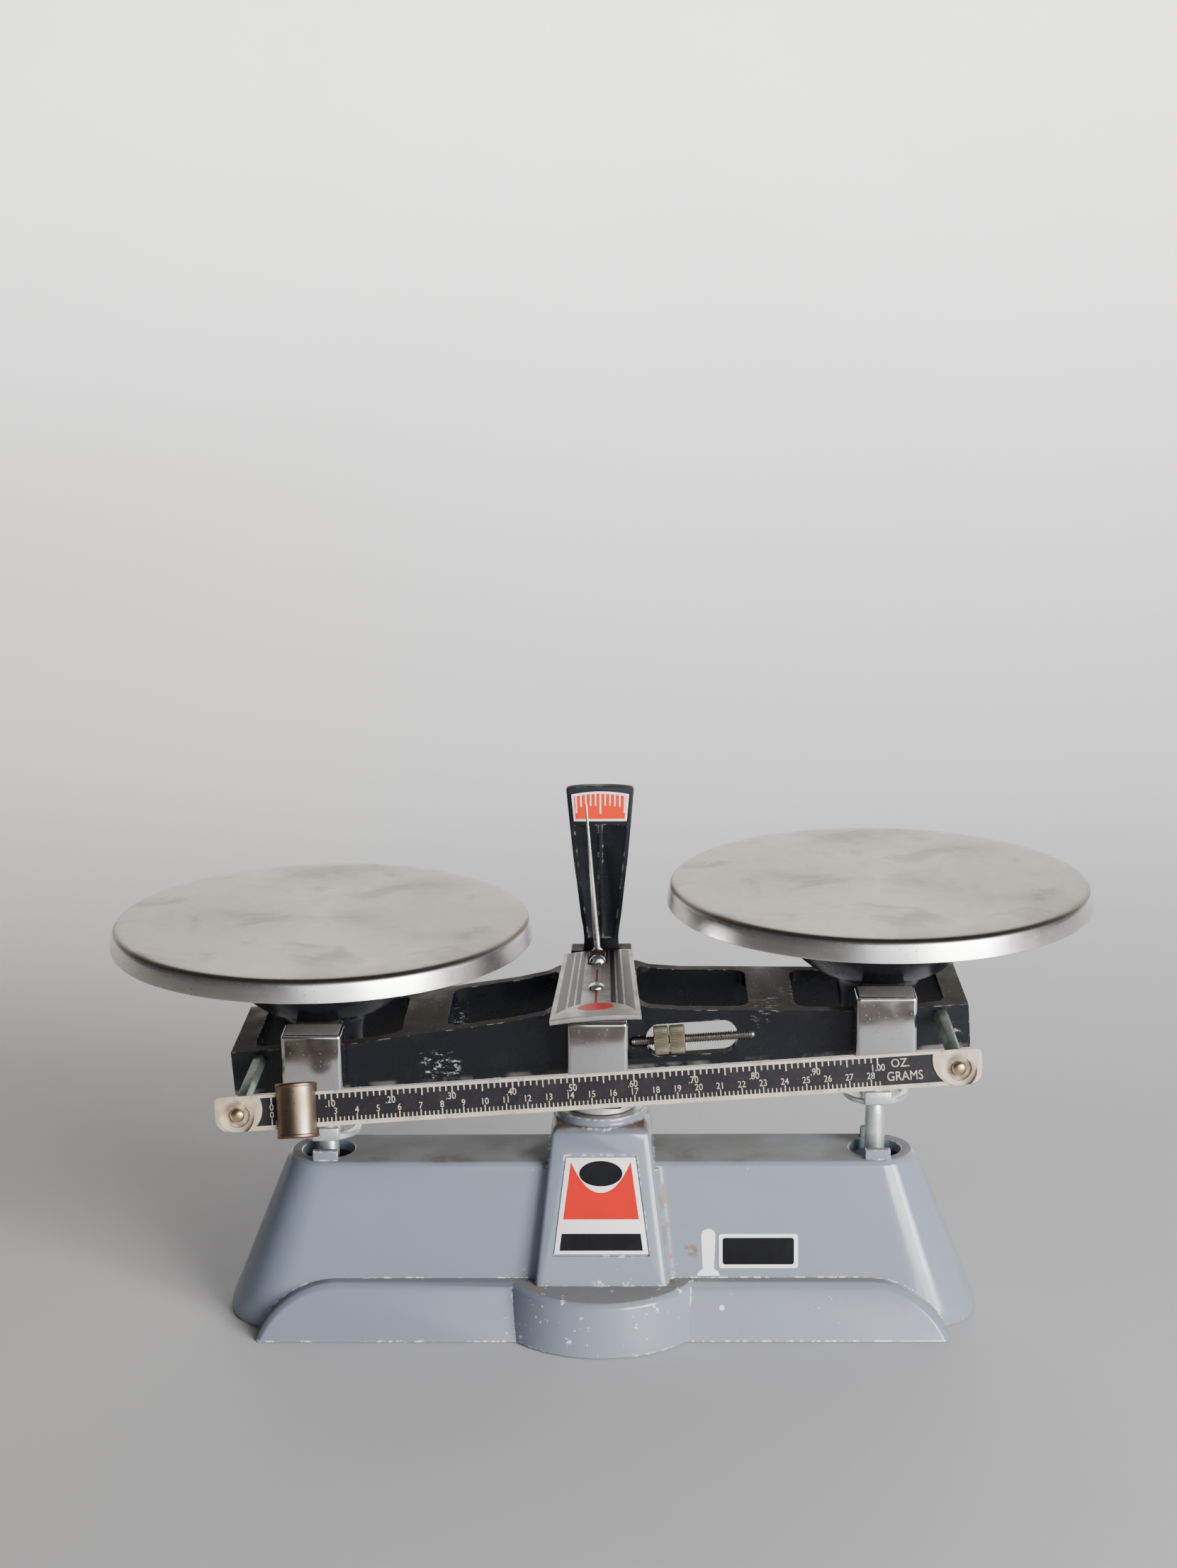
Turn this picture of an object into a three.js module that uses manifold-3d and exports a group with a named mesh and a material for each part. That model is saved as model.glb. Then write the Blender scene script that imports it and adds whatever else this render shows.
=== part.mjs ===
// A two-pan, equal-arm trip balance with one rider beam. Millimetres, +Z up, +X to the right, +Y away
// from the reader. Z = 0 is the table. The beam rests with its left pan low.

import * as THREE from 'three';
import { mergeVertices } from 'three/addons/utils/BufferGeometryUtils.js';
import { ConvexGeometry } from 'three/addons/geometries/ConvexGeometry.js';
import Module from 'manifold-3d';

const wasm = await Module();
wasm.setup();

// ---------------------------------------------------------------- driving dimensions

const GAP = 0.3; // clearance between pieces that touch
const TILT = THREE.MathUtils.degToRad(3.8); // beam angle at rest, left end low

// beam and its knife edges
const ARM = 101.4; // centre knife edge to end knife edge
const PIVOT_Z = 109.4; // height of the centre knife edge
const BEAM = { half: 132.2, side: 26, wall: 4.6, bottom: -8.1, web: 3.3 };
const OUTER_OPENING = [70.8, 124.4]; // along the beam, from its centre
const INNER_OPENING = [14.5, 54.4];
const PLATEAU_Z = 16.3; // top of the beam's middle

// rider bar, parallel to the beam and in front of it
const BAR = { y: -80, z: 4.4, left: -129.8, right: 130, height: 12, thick: 3, lean: 20 };
const STANDOFF_X = 122.2;
const POISE = { radius: 7.2, height: 18.7, x: -101.8 };

// base casting
const BASE = { straight: 115, topStraight: 101, topRadius: 14, edgeRadius: 15.4, footRadius: 25 };
const BASE_TOP = 62;
const BASE_EDGE = 60.55;
const BASE_WALL = 4;
const HOLE_RADIUS = 9.6;
const PILLAR_TOP = 76.1;
const BOSS_TOP = 79.2;
const LINK_Z = 38; // check link pivot

// pans and what carries them, measured from the knife edge they hang on
const PAN_RADIUS = 76.6;
const STEM_RADIUS = 3.65;
const LINK_DROP = PIVOT_Z - LINK_Z;

const SEGMENTS = 20; // facets round a small shaft or hole

// ---------------------------------------------------------------- looks

const LOOKS = {
  enamel: { color: '#8b909a', roughness: 0.45, metalness: 0.1 },
  black: { color: '#17181b', roughness: 0.4, metalness: 0.2 },
  chrome: { color: '#c9cacc', roughness: 0.15, metalness: 1 },
  pan: { color: '#aaa59c', roughness: 0.35, metalness: 1 },
  zinc: { color: '#b9bfba', roughness: 0.5, metalness: 0.9 },
  steel: { color: '#a3a19c', roughness: 0.35, metalness: 1 },
  nickel: { color: '#b5ab88', roughness: 0.4, metalness: 1 },
  bronze: { color: '#9b8571', roughness: 0.35, metalness: 1 },
  scale: { color: '#55504c', roughness: 0.5, metalness: 0.4 },
  striped: { color: '#b8b4ab', roughness: 0.4, metalness: 0.6 },
  agate: { color: '#6b5a4c', roughness: 0.2, metalness: 0 },
  label: { color: '#c8372a', roughness: 0.4, metalness: 0 },
  labelDark: { color: '#2a2d33', roughness: 0.4, metalness: 0 },
  dial: { color: '#e2511f', roughness: 0.5, metalness: 0 },
};

// ---------------------------------------------------------------- solids

/** A closed three.js geometry as a solid that can be cut and joined. */
function solid(geometry) {
  const bare = geometry.clone();
  bare.deleteAttribute('normal');
  bare.deleteAttribute('uv');
  const merged = mergeVertices(bare, 1e-4);
  const corners = merged.index.array;
  const kept = [];
  for (let i = 0; i < corners.length; i += 3) {
    const [a, b, c] = [corners[i], corners[i + 1], corners[i + 2]];
    if (a !== b && b !== c && c !== a) kept.push(a, b, c);
  }
  return new wasm.Manifold(new wasm.Mesh({
    numProp: 3,
    vertProperties: merged.attributes.position.array,
    triVerts: new Uint32Array(kept),
  }));
}

/** A named mesh with its own material, from a solid. */
function piece(name, body, look) {
  const { vertProperties, triVerts } = body.getMesh();
  const geometry = new THREE.BufferGeometry();
  geometry.setAttribute('position', new THREE.BufferAttribute(vertProperties, 3));
  geometry.setIndex(new THREE.BufferAttribute(triVerts, 1));
  geometry.computeVertexNormals();
  const mesh = new THREE.Mesh(geometry, new THREE.MeshStandardMaterial(LOOKS[look]));
  mesh.name = name;
  return mesh;
}

function join(first, ...rest) {
  return rest.reduce((sum, body) => sum.add(body), first);
}

function cut(first, ...rest) {
  return rest.reduce((left, body) => left.subtract(body), first);
}

function box([x0, x1], [y0, y1], [z0, z1]) {
  const geometry = new THREE.BoxGeometry(x1 - x0, y1 - y0, z1 - z0);
  geometry.translate((x0 + x1) / 2, (y0 + y1) / 2, (z0 + z1) / 2);
  return solid(geometry);
}

/** A cylinder along 'x', 'y' or 'z', from one end to the other; at holds the other two coordinates. */
function rod(axis, radius, [from, to], at = [0, 0], segments = SEGMENTS) {
  const geometry = new THREE.CylinderGeometry(radius, radius, to - from, segments);
  const middle = (from + to) / 2;
  if (axis === 'x') {
    geometry.rotateZ(-Math.PI / 2);
    geometry.translate(middle, at[0], at[1]);
  } else if (axis === 'y') {
    geometry.translate(at[0], middle, at[1]);
  } else {
    geometry.rotateX(Math.PI / 2);
    geometry.translate(at[0], at[1], middle);
  }
  return solid(geometry);
}

/** A solid of revolution about Z; its [radius, z] points run from the axis, outward and up, and back. */
function turned(points, segments = 36) {
  const profile = points.map(([r, z]) => new THREE.Vector2(r, z));
  const geometry = new THREE.LatheGeometry(profile, segments);
  geometry.rotateX(Math.PI / 2);
  return solid(geometry);
}

/** An outline in X and Z, extruded along Y. */
function plateXZ(shape, [y0, y1], curveSegments = 8) {
  const geometry = new THREE.ExtrudeGeometry(shape, { depth: y1 - y0, bevelEnabled: false, curveSegments });
  geometry.rotateX(Math.PI / 2);
  geometry.translate(0, y1, 0);
  return solid(geometry);
}

/** An outline in X and Y, extruded along Z. */
function plateXY(shape, [z0, z1], curveSegments = 8) {
  const geometry = new THREE.ExtrudeGeometry(shape, { depth: z1 - z0, bevelEnabled: false, curveSegments });
  geometry.translate(0, 0, z0);
  return solid(geometry);
}

function polygon(points) {
  return new THREE.Shape(points.map(([x, y]) => new THREE.Vector2(x, y)));
}

/** A rectangle whose four corner radii run from the lower left, counter-clockwise. */
function roundedRectangle([x0, x1], [y0, y1], [r0, r1, r2, r3]) {
  const shape = new THREE.Shape();
  const corners = [
    [x0 + r0, y0 + r0, r0],
    [x1 - r1, y0 + r1, r1],
    [x1 - r2, y1 - r2, r2],
    [x0 + r3, y1 - r3, r3],
  ];
  shape.moveTo(x0, y0 + r0);
  corners.forEach(([x, y, r], i) => {
    const start = Math.PI + (i * Math.PI) / 2;
    if (r > 0) shape.absarc(x, y, r, start, start + Math.PI / 2);
    else shape.lineTo(x, y);
  });
  return shape;
}

/** The convex solid around a set of [x, y, z] points. */
function hull(points) {
  return solid(new ConvexGeometry(points.map((p) => new THREE.Vector3(...p))));
}

/** Points of an outline with two straight sides and round ends, at one height. */
function stadium(straight, radius, z, perEnd = 12) {
  const points = [];
  for (const end of [1, -1]) {
    for (let i = 0; i <= perEnd; i += 1) {
      const angle = -Math.PI / 2 + (Math.PI * i) / perEnd;
      points.push([end * (straight + radius * Math.cos(angle)), end * radius * Math.sin(angle), z]);
    }
  }
  return points;
}

function ring(radius, z, centreY, count = 40) {
  const points = [];
  for (let i = 0; i < count; i += 1) {
    const angle = (2 * Math.PI * i) / count;
    points.push([radius * Math.cos(angle), centreY + radius * Math.sin(angle), z]);
  }
  return points;
}

// ---------------------------------------------------------------- base

/** The long tapered body, shrunk by inset for its hollow. */
function baseBody(inset, bottom, top) {
  if (inset === 0) {
    return hull([
      ...stadium(BASE.straight, BASE.footRadius, bottom),
      ...stadium(BASE.topStraight, BASE.edgeRadius, BASE_EDGE),
      ...stadium(BASE.topStraight, BASE.topRadius, top),
    ]);
  }
  return hull([
    ...stadium(BASE.straight, BASE.footRadius - inset, bottom),
    ...stadium(BASE.topStraight, BASE.edgeRadius - inset + 0.6, top),
  ]);
}

/** The step along the front: flat on top, with quarter-round ends. */
function apron(inset) {
  const top = 19.6 - inset;
  const radius = 32.5 - inset;
  const flat = 97;
  const lean = 0.359;
  const chamfer = inset === 0 ? 1.6 : 0;
  const front = (z) => -34.4 + inset + lean * z;
  const bottom = inset === 0 ? 0 : -1;
  const outline = [];
  for (let i = 0; i <= 8; i += 1) {
    const drop = ((top - bottom) * i) / 8;
    const reach = Math.sqrt(radius ** 2 - (radius - drop) ** 2);
    outline.push([flat + reach, top - drop]);
  }
  const points = [];
  for (const [x, z] of outline) {
    for (const side of [-1, 1]) {
      points.push([side * x, -12, z], [side * x, front(z) + chamfer, z]);
      points.push([side * (x - chamfer), front(z - chamfer), Math.max(z - chamfer, bottom)]);
    }
  }
  return hull(points);
}

/** The round bulge under the pillar. */
function bulge(inset) {
  const centreY = -7.5;
  if (inset === 0) {
    return hull([...ring(41.2, 0, centreY), ...ring(38.5, 18.1, centreY), ...ring(36.8, 19.6, centreY)]);
  }
  return hull([...ring(41.2 - inset, -1, centreY), ...ring(38.3 - inset, 19.6 - inset, centreY)]);
}

/** Four corners of the pillar at one height, with the vertical edges taken off. */
function pillarRing(halfWidth, front, back, z, corner) {
  const points = [];
  for (const side of [-1, 1]) {
    points.push([side * halfWidth, front + corner, z], [side * (halfWidth - corner), front, z]);
    points.push([side * halfWidth, back - corner, z], [side * (halfWidth - corner), back, z]);
  }
  return points;
}

function pillar(inset) {
  if (inset === 0) {
    return hull([
      ...pillarRing(26.6, -33.1, 26, 0, 1.4),
      ...pillarRing(17.9, -18.2, 18.2, 74.3, 1.4),
      ...pillarRing(16.1, -16.5, 16.5, PILLAR_TOP, 1.4),
    ]);
  }
  return hull([
    ...pillarRing(26.6 - inset, -33.1 + inset, 26 - inset, -1, 1.4),
    ...pillarRing(18.4 - inset, -19 + inset, 19 - inset, PILLAR_TOP - 6, 1.4),
  ]);
}

// the sloping front faces that carry the labels: a point on each and its lean from vertical
const PILLAR_FACE = { y: -23.7, z: 46.95, lean: Math.atan2(11, 54.7) };
const WALL_FACE = { y: -20.36, z: 29.45, lean: Math.atan2(9.6, 60.55) };

/** Something built in X and Z against Y = 0, laid on a sloping face. */
function onFace(object, face, x = 0) {
  object.position.set(x, face.y, face.z);
  object.rotation.x = -face.lean;
  return object;
}

function onFaceSolid(body, face) {
  return body.rotate([-THREE.MathUtils.radToDeg(face.lean), 0, 0]).translate([0, face.y, face.z]);
}

const NAMEPLATE = [[-12.6, 19.3], [-17.2, -16.2], [17.2, -16.2], [12.6, 19.3]];
const NAMEPLATE_RECESS = [[-13, 20], [-17.7, -17], [17.7, -17], [13, 20]];

function baseCasting() {
  const lugs = [];
  for (const side of [-1, 1]) {
    for (const [y0, y1] of [[-13, -10.2], [10.2, 13]]) {
      lugs.push(box([side * 101.4 - 4.65, side * 101.4 + 4.65], [y0, y1], [BASE_TOP - 2, 65.8]));
    }
  }
  const outside = join(
    baseBody(0, 0, BASE_TOP),
    apron(0),
    bulge(0),
    pillar(0),
    rod('z', 16.4, [PILLAR_TOP - 2, BOSS_TOP]),
    ...lugs,
  );
  const holes = [-1, 1].map((side) => rod('z', HOLE_RADIUS, [50, 70], [side * ARM, 0]));
  return cut(
    outside,
    baseBody(BASE_WALL, -1, BASE_TOP - BASE_WALL),
    apron(BASE_WALL),
    bulge(BASE_WALL),
    pillar(BASE_WALL),
    rod('z', 3.4, [60, 90]),
    onFaceSolid(plateXZ(polygon(NAMEPLATE_RECESS), [-5, 0.8]), PILLAR_FACE),
    ...holes,
  );
}

function nameplate() {
  return onFace(piece('nameplate', plateXZ(polygon(NAMEPLATE), [0, 0.5]), 'label'), PILLAR_FACE);
}

function sideLabel() {
  const outline = roundedRectangle([-14.5, 14.5], [-6.35, 6.35], [1, 1, 1, 1]);
  return onFace(piece('side_label', plateXZ(outline, [-0.6, -GAP], 3), 'labelDark'), WALL_FACE, 57.5);
}

// ---------------------------------------------------------------- bearings

const BLOCK = { halfWidth: 4.2, near: 29, far: 36 };

/** A bearing block with a V notch for an edge at Z = 0; it opens upward, or downward for up = -1. */
function bearingBlock(up) {
  const slope = Math.tan(THREE.MathUtils.degToRad(55));
  const mouth = 2.1;
  const outline = [
    [-BLOCK.halfWidth, -5 * up],
    [BLOCK.halfWidth, -5 * up],
    [BLOCK.halfWidth, mouth * up],
    [(mouth + GAP) * slope, mouth * up],
    [0, -GAP * up],
    [-(mouth + GAP) * slope, mouth * up],
    [-BLOCK.halfWidth, mouth * up],
  ];
  return plateXZ(polygon(up > 0 ? outline : outline.reverse()), [BLOCK.near, BLOCK.far]);
}

/** A knife's section: an edge at Z = 0 with the bar above it, or below it for up = -1. */
function knifeOutline(up, grow = 0) {
  const outline = [
    [0, -2 * grow * up],
    [2.6 + grow, 4.6 * up],
    [2.6 + grow, (7 + grow) * up],
    [-2.6 - grow, (7 + grow) * up],
    [-2.6 - grow, 4.6 * up],
  ];
  return polygon(up > 0 ? outline : outline.reverse());
}

/** A sheet box over one bearing, open below and towards the beam; front is -1 or 1. */
function cover(top) {
  const sheet = 0.8;
  const [halfWidth, near, far, height] = [10.7, 28, 40.2, 28];
  const outside = plateXY(
    roundedRectangle([-halfWidth, halfWidth], [-far, -near], [1.5, 1.5, 0, 0]),
    [top - height, top],
  );
  const inside = box(
    [-halfWidth + sheet, halfWidth - sheet],
    [-far + sheet, -near + 1],
    [top - height - 1, top - sheet],
  );
  return cut(outside, inside);
}

function mirrorY(body) {
  return body.mirror([0, 1, 0]);
}

// ---------------------------------------------------------------- column and pointer scale

/** A pocket for a bearing block in an arm, open towards the beam. */
function blockPocket(side, [z0, z1]) {
  const [near, far] = [28, BLOCK.far + GAP];
  const y = side < 0 ? [-far, -near] : [near, far];
  return box([-BLOCK.halfWidth - GAP, BLOCK.halfWidth + GAP], y, [z0, z1]);
}

function columnYoke() {
  const floor = PIVOT_Z - 5 - GAP;
  const arms = [-1, 1].map((side) => {
    const y = side < 0 ? [-38, -28.6] : [28.6, 38];
    return cut(box([-8, 8], y, [92, 107]), blockPocket(side, [floor, 120]));
  });
  return cut(
    join(
      turned([[0, BOSS_TOP + GAP], [13, BOSS_TOP + GAP], [13, 82.5], [12.2, 83.4], [12.2, 88], [0, 88]]),
      box([-8, 8], [-12, 40.7], [87.5, 95.5]),
      box([-8, 8], [-38, -8], [91.2, 97.5]),
      ...arms,
    ),
    rod('z', 3.4, [70, 91]),
    ...[-4.5, 4.5].map((x) => rod('y', 1.6, [33, 45], [x, 91.8])),
  );
}

function columnBolt() {
  const head = new THREE.CylinderGeometry(5.5, 5.5, 4, 6);
  head.rotateX(Math.PI / 2);
  head.translate(0, 0, 63.4);
  return join(solid(head), rod('z', 3, [63.4, 90.5]));
}

function linkBracket() {
  const arms = [[-11.7, -9], [9, 11.7]].map(([y0, y1]) => cut(
    join(box([-6, 6], [y0, y1], [LINK_Z, 69]), rod('y', 6, [y0, y1], [0, LINK_Z])),
    rod('y', 2.3, [y0 - 1, y1 + 1], [0, LINK_Z]),
  ));
  return cut(join(box([-6, 6], [-11.7, 11.7], [65.7, 69.7]), ...arms), rod('z', 3.4, [60, 72]));
}

/** The upright behind the pointer: a foot, a flaring plate above it and a leg down to the yoke. */
function scaleBracket() {
  const outline = new THREE.Shape();
  outline.moveTo(-7.1, 126);
  outline.lineTo(7.1, 126);
  outline.lineTo(6.5, 132);
  outline.lineTo(7.7, 141);
  outline.lineTo(10.15, 162);
  outline.lineTo(12.75, 190);
  outline.quadraticCurveTo(0, 192.2, -12.75, 190);
  outline.lineTo(-10.15, 162);
  outline.lineTo(-7.7, 141);
  outline.lineTo(-6.5, 132);
  outline.lineTo(-7.1, 126);
  return cut(
    join(
      plateXZ(outline, [37.5, 41.5]),
      box([-11.5, 11.5], [36, 46], [124.9, 127.1]),
      box([-8, 8], [41, 44], [88, 126]),
    ),
    ...[-4.5, 4.5].map((x) => rod('y', 1.6, [33, 47], [x, 91.8])),
  );
}

function dialPlate() {
  const outline = new THREE.Shape();
  outline.moveTo(-9.9, 177.7);
  outline.lineTo(9.9, 177.7);
  outline.lineTo(10.7, 188);
  outline.quadraticCurveTo(0, 190.2, -10.7, 188);
  outline.lineTo(-9.9, 177.7);
  return plateXZ(outline, [36.7, 37.2]);
}

/** A domed head at the origin facing -Y, with its shank behind. */
function screwY(headRadius, headHeight, shankRadius, length) {
  const dome = turned([
    [0, -length],
    [shankRadius, -length],
    [shankRadius, 0],
    [headRadius, 0],
    [headRadius, headHeight * 0.4],
    [headRadius * 0.6, headHeight * 0.85],
    [0, headHeight],
  ], 12);
  return dome.rotate([90, 0, 0]);
}

function fixedPieces() {
  const bracketScrew = (name, x) => {
    const mesh = piece(name, screwY(2.6, 1.8, 1.3, 8).rotate([0, 0, 180]), 'steel');
    mesh.position.set(x, 44 + GAP, 91.8);
    return mesh;
  };
  const centreBlock = bearingBlock(1).translate([0, 0, PIVOT_Z]);
  const centreCover = cover(124.4).translate([-0.4, 0, 0]);
  return [
    piece('base_casting', baseCasting(), 'enamel'),
    nameplate(),
    sideLabel(),
    piece('column_yoke', columnYoke(), 'black'),
    piece('column_bolt', columnBolt(), 'steel'),
    piece('centre_bearing_front', mirrorY(centreBlock), 'agate'),
    piece('centre_bearing_rear', centreBlock, 'agate'),
    piece('centre_cover_front', centreCover, 'chrome'),
    piece('centre_cover_rear', mirrorY(centreCover), 'chrome'),
    piece('scale_bracket', scaleBracket(), 'black'),
    bracketScrew('bracket_screw_left', -4.5),
    bracketScrew('bracket_screw_right', 4.5),
    piece('dial_plate', dialPlate(), 'dial'),
    piece('link_bracket', linkBracket(), 'steel'),
    piece('link_pivot_pin', rod('y', 2, [-13, 13], [0, LINK_Z]), 'steel'),
  ];
}

// ---------------------------------------------------------------- check link, about its pivot

function checkLink() {
  const outline = new THREE.Shape();
  outline.moveTo(-ARM, -4);
  outline.lineTo(ARM, -4);
  outline.absarc(ARM, 0, 4, -Math.PI / 2, Math.PI / 2);
  outline.lineTo(-ARM, 4);
  outline.absarc(-ARM, 0, 4, Math.PI / 2, 1.5 * Math.PI);
  const bars = [[-7.5, -4.6], [4.6, 7.5]].map((y) => plateXZ(outline, y, 4));
  return cut(
    join(
      ...bars,
      rod('y', 6, [-8.6, 8.6]),
      box([-70, -66], [-5, 5], [-3, 3]),
      box([66, 70], [-5, 5], [-3, 3]),
    ),
    rod('y', 2.3, [-10, 10]),
    ...[-ARM, ARM].map((x) => rod('y', 1.8, [-10, 10], [x, 0], 12)),
  );
}

function checkLinkPieces() {
  const group = new THREE.Group();
  group.position.z = LINK_Z;
  group.rotation.y = -TILT;
  group.add(piece('check_link', checkLink(), 'steel'));
  for (const [name, x] of [['link_end_pin_left', -ARM], ['link_end_pin_right', ARM]]) {
    group.add(piece(name, rod('y', 1.5, [-8.5, 8.5], [x, 0]), 'steel'));
  }
  return group;
}

// ---------------------------------------------------------------- beam, about the centre knife edge

const NUT_ROD = { y: -25.5, z: 2, radius: 1.8, from: 11, to: 56 };
const NUT_RADIUS = 5.2;
const INNER_NUT = [19.7, 25];
const OUTER_NUT = [25.3, 30.8];
const LUG = { halfWidth: 3.2, y: [21, 28], z: [13.5, 20.6] };
const POINTER_Y = [28.4, 29.4];
const POINTER_SCREW_Z = 17.9;
const PLATE_SCREW_Y = -10.5;

function beamCasting() {
  const { half, side, wall, bottom, web } = BEAM;
  const top = [[132.2, 8], [90, 8.4], [27, 13.2], [19.5, 14.4], [14, PLATEAU_Z]];
  const left = top.map(([x, z]) => [-x, z]);
  const outline = polygon([[-half, bottom], [half, bottom], ...top, ...left.reverse()]);
  const inner = side - wall;
  const openings = [];
  for (const end of [-1, 1]) {
    for (const [from, to] of [OUTER_OPENING, INNER_OPENING]) {
      const x = end > 0 ? [from, to] : [-to, -from];
      openings.push(plateXY(roundedRectangle(x, [-inner, inner], [5, 5, 5, 5]), [-20, 30], 4));
    }
    const bar = end > 0 ? [50, 76] : [-76, -50];
    openings.push(box(bar, [-inner, inner], [-20, 9.4 - web]));
    const endWall = end > 0 ? [118, 128.6] : [-128.6, -118];
    openings.push(box(endWall, [-inner, inner], [-20, 8 - web]));
    openings.push(plateXZ(knifeOutline(-1, 0.35), [-40, 40]).translate([end * ARM, 0, 0]));
  }
  const slot = plateXZ(roundedRectangle([16.9, 49.6], [-4.1, 8.2], [5.5, 5.5, 5.5, 5.5]), [-30, -15]);
  return cut(
    join(
      plateXZ(outline, [-side, side]),
      box([-LUG.halfWidth, LUG.halfWidth], LUG.y, LUG.z),
    ),
    ...openings,
    box([-20, 20], [-inner, inner], [-20, PLATEAU_Z - web]),
    plateXZ(knifeOutline(1, 0.35), [-40, 40]),
    slot,
    rod('x', NUT_ROD.radius + 0.4, [NUT_ROD.from - GAP, NUT_ROD.to + GAP], [NUT_ROD.y, NUT_ROD.z], 16),
    rod('y', 1.5, [18, 30], [0, POINTER_SCREW_Z], 16),
    rod('y', 3.6, [16, LUG.y[0]], [0, POINTER_SCREW_Z], 24),
    rod('z', 1.6, [5, 25], [0, PLATE_SCREW_Y], 16),
    ...[-STANDOFF_X, STANDOFF_X].map((x) => rod('y', 1.7, [-30, -20], [x, BAR.z], 16)),
  );
}

/** A crowned sheet, wider at the front, with a turned-down front lip and a slot at the rear. */
function topPlate() {
  const plan = polygon([[-16.2, -41.4], [16.2, -41.4], [12.9, 35.5], [-12.9, 35.5]]);
  const section = new THREE.Shape();
  section.moveTo(-17, 16.6);
  section.quadraticCurveTo(0, 17.6, 17, 16.6);
  section.lineTo(17, 17.6);
  section.quadraticCurveTo(0, 18.6, -17, 17.6);
  section.lineTo(-17, 16.6);
  const sheet = plateXZ(section, [-42, 36]).intersect(plateXY(plan, [10, 25]));
  return cut(
    join(sheet, box([-16.2, 16.2], [-41.4, -40.5], [15.5, 16.9])),
    box([-3.6, 3.6], [18, 40], [10, 25]),
    rod('z', 1.6, [10, 25], [0, PLATE_SCREW_Y], 16),
  );
}

function pointer() {
  const outline = polygon([
    [-3, 16], [3, 16], [3, 20.8], [1.2, 23], [0.35, 77.5], [-0.35, 77.5], [-1.2, 23], [-3, 20.8],
  ]);
  return cut(plateXZ(outline, POINTER_Y), rod('y', 1.5, [20, 40], [0, POINTER_SCREW_Z], 16));
}

/** A hexagonal pillar from the beam's wall to the back of the leaning rider bar. */
function standoff() {
  const flat = 4.8 / Math.sqrt(3);
  const lean = Math.tan(THREE.MathUtils.degToRad(BAR.lean));
  const back = BAR.y + BAR.thick / 2 / Math.cos(THREE.MathUtils.degToRad(BAR.lean)) + GAP;
  const points = [];
  for (let i = 0; i < 6; i += 1) {
    const angle = (Math.PI * i) / 3;
    const [x, z] = [flat * Math.cos(angle), flat * Math.sin(angle)];
    points.push([x, -BEAM.side - GAP, z], [x, back + lean * z, z]);
  }
  return cut(hull(points), rod('y', 1.7, [-90, -66], [0, 0], 16));
}

/** The graduated bar, about its own middle, with a sunk field and a counterbore at each end. */
function riderBar() {
  const outline = roundedRectangle([BAR.left, BAR.right], [-BAR.height / 2, BAR.height / 2], [5, 5, 1, 1]);
  const field = box([-115, 113.4], [-5, -BAR.thick / 2 + 0.4], [-4.9, 4.9]);
  const lean = [BAR.lean, 0, 0];
  const screwHoles = [-STANDOFF_X, STANDOFF_X].map((x) => join(
    rod('y', 1.7, [-10, 10], [x, 0], 16),
    rod('y', 4.2, [-10, -0.2], [x, -0.2], 24),
  ).rotate(lean));
  return cut(plateXZ(outline, [-BAR.thick / 2, BAR.thick / 2]), field, ...screwHoles);
}

function atBar(object, x) {
  object.position.set(x, BAR.y, BAR.z);
  object.rotation.x = -THREE.MathUtils.degToRad(BAR.lean);
  return object;
}

function poise() {
  const { radius, height } = POISE;
  const rim = 0.8;
  const body = turned([
    [0, -height / 2],
    [radius - rim, -height / 2],
    [radius, -height / 2 + rim],
    [radius, height / 2 - rim],
    [radius - rim, height / 2],
    [0, height / 2],
  ]);
  return cut(body, box([-10, 10], [-1.8, 1.8], [-8.2, 6.3]));
}

/** A shallow leaf that presses the poise down on the bar. */
function poiseSpring() {
  const outline = new THREE.Shape();
  outline.moveTo(-5, -7.9);
  outline.quadraticCurveTo(0, -5.5, 5, -7.9);
  outline.lineTo(5, -7.6);
  outline.quadraticCurveTo(0, -5.2, -5, -7.6);
  outline.lineTo(-5, -7.9);
  return plateXZ(outline, [-1.4, 1.4]);
}

function threadedRod() {
  return rod('x', NUT_ROD.radius, [NUT_ROD.from, NUT_ROD.to], [NUT_ROD.y, NUT_ROD.z], 16);
}

function zeroNut([from, to]) {
  const at = [NUT_ROD.y, NUT_ROD.z];
  const bore = rod('x', NUT_ROD.radius + GAP, [from - 1, to + 1], at);
  return cut(rod('x', NUT_RADIUS, [from, to], at, 36), bore);
}

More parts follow.
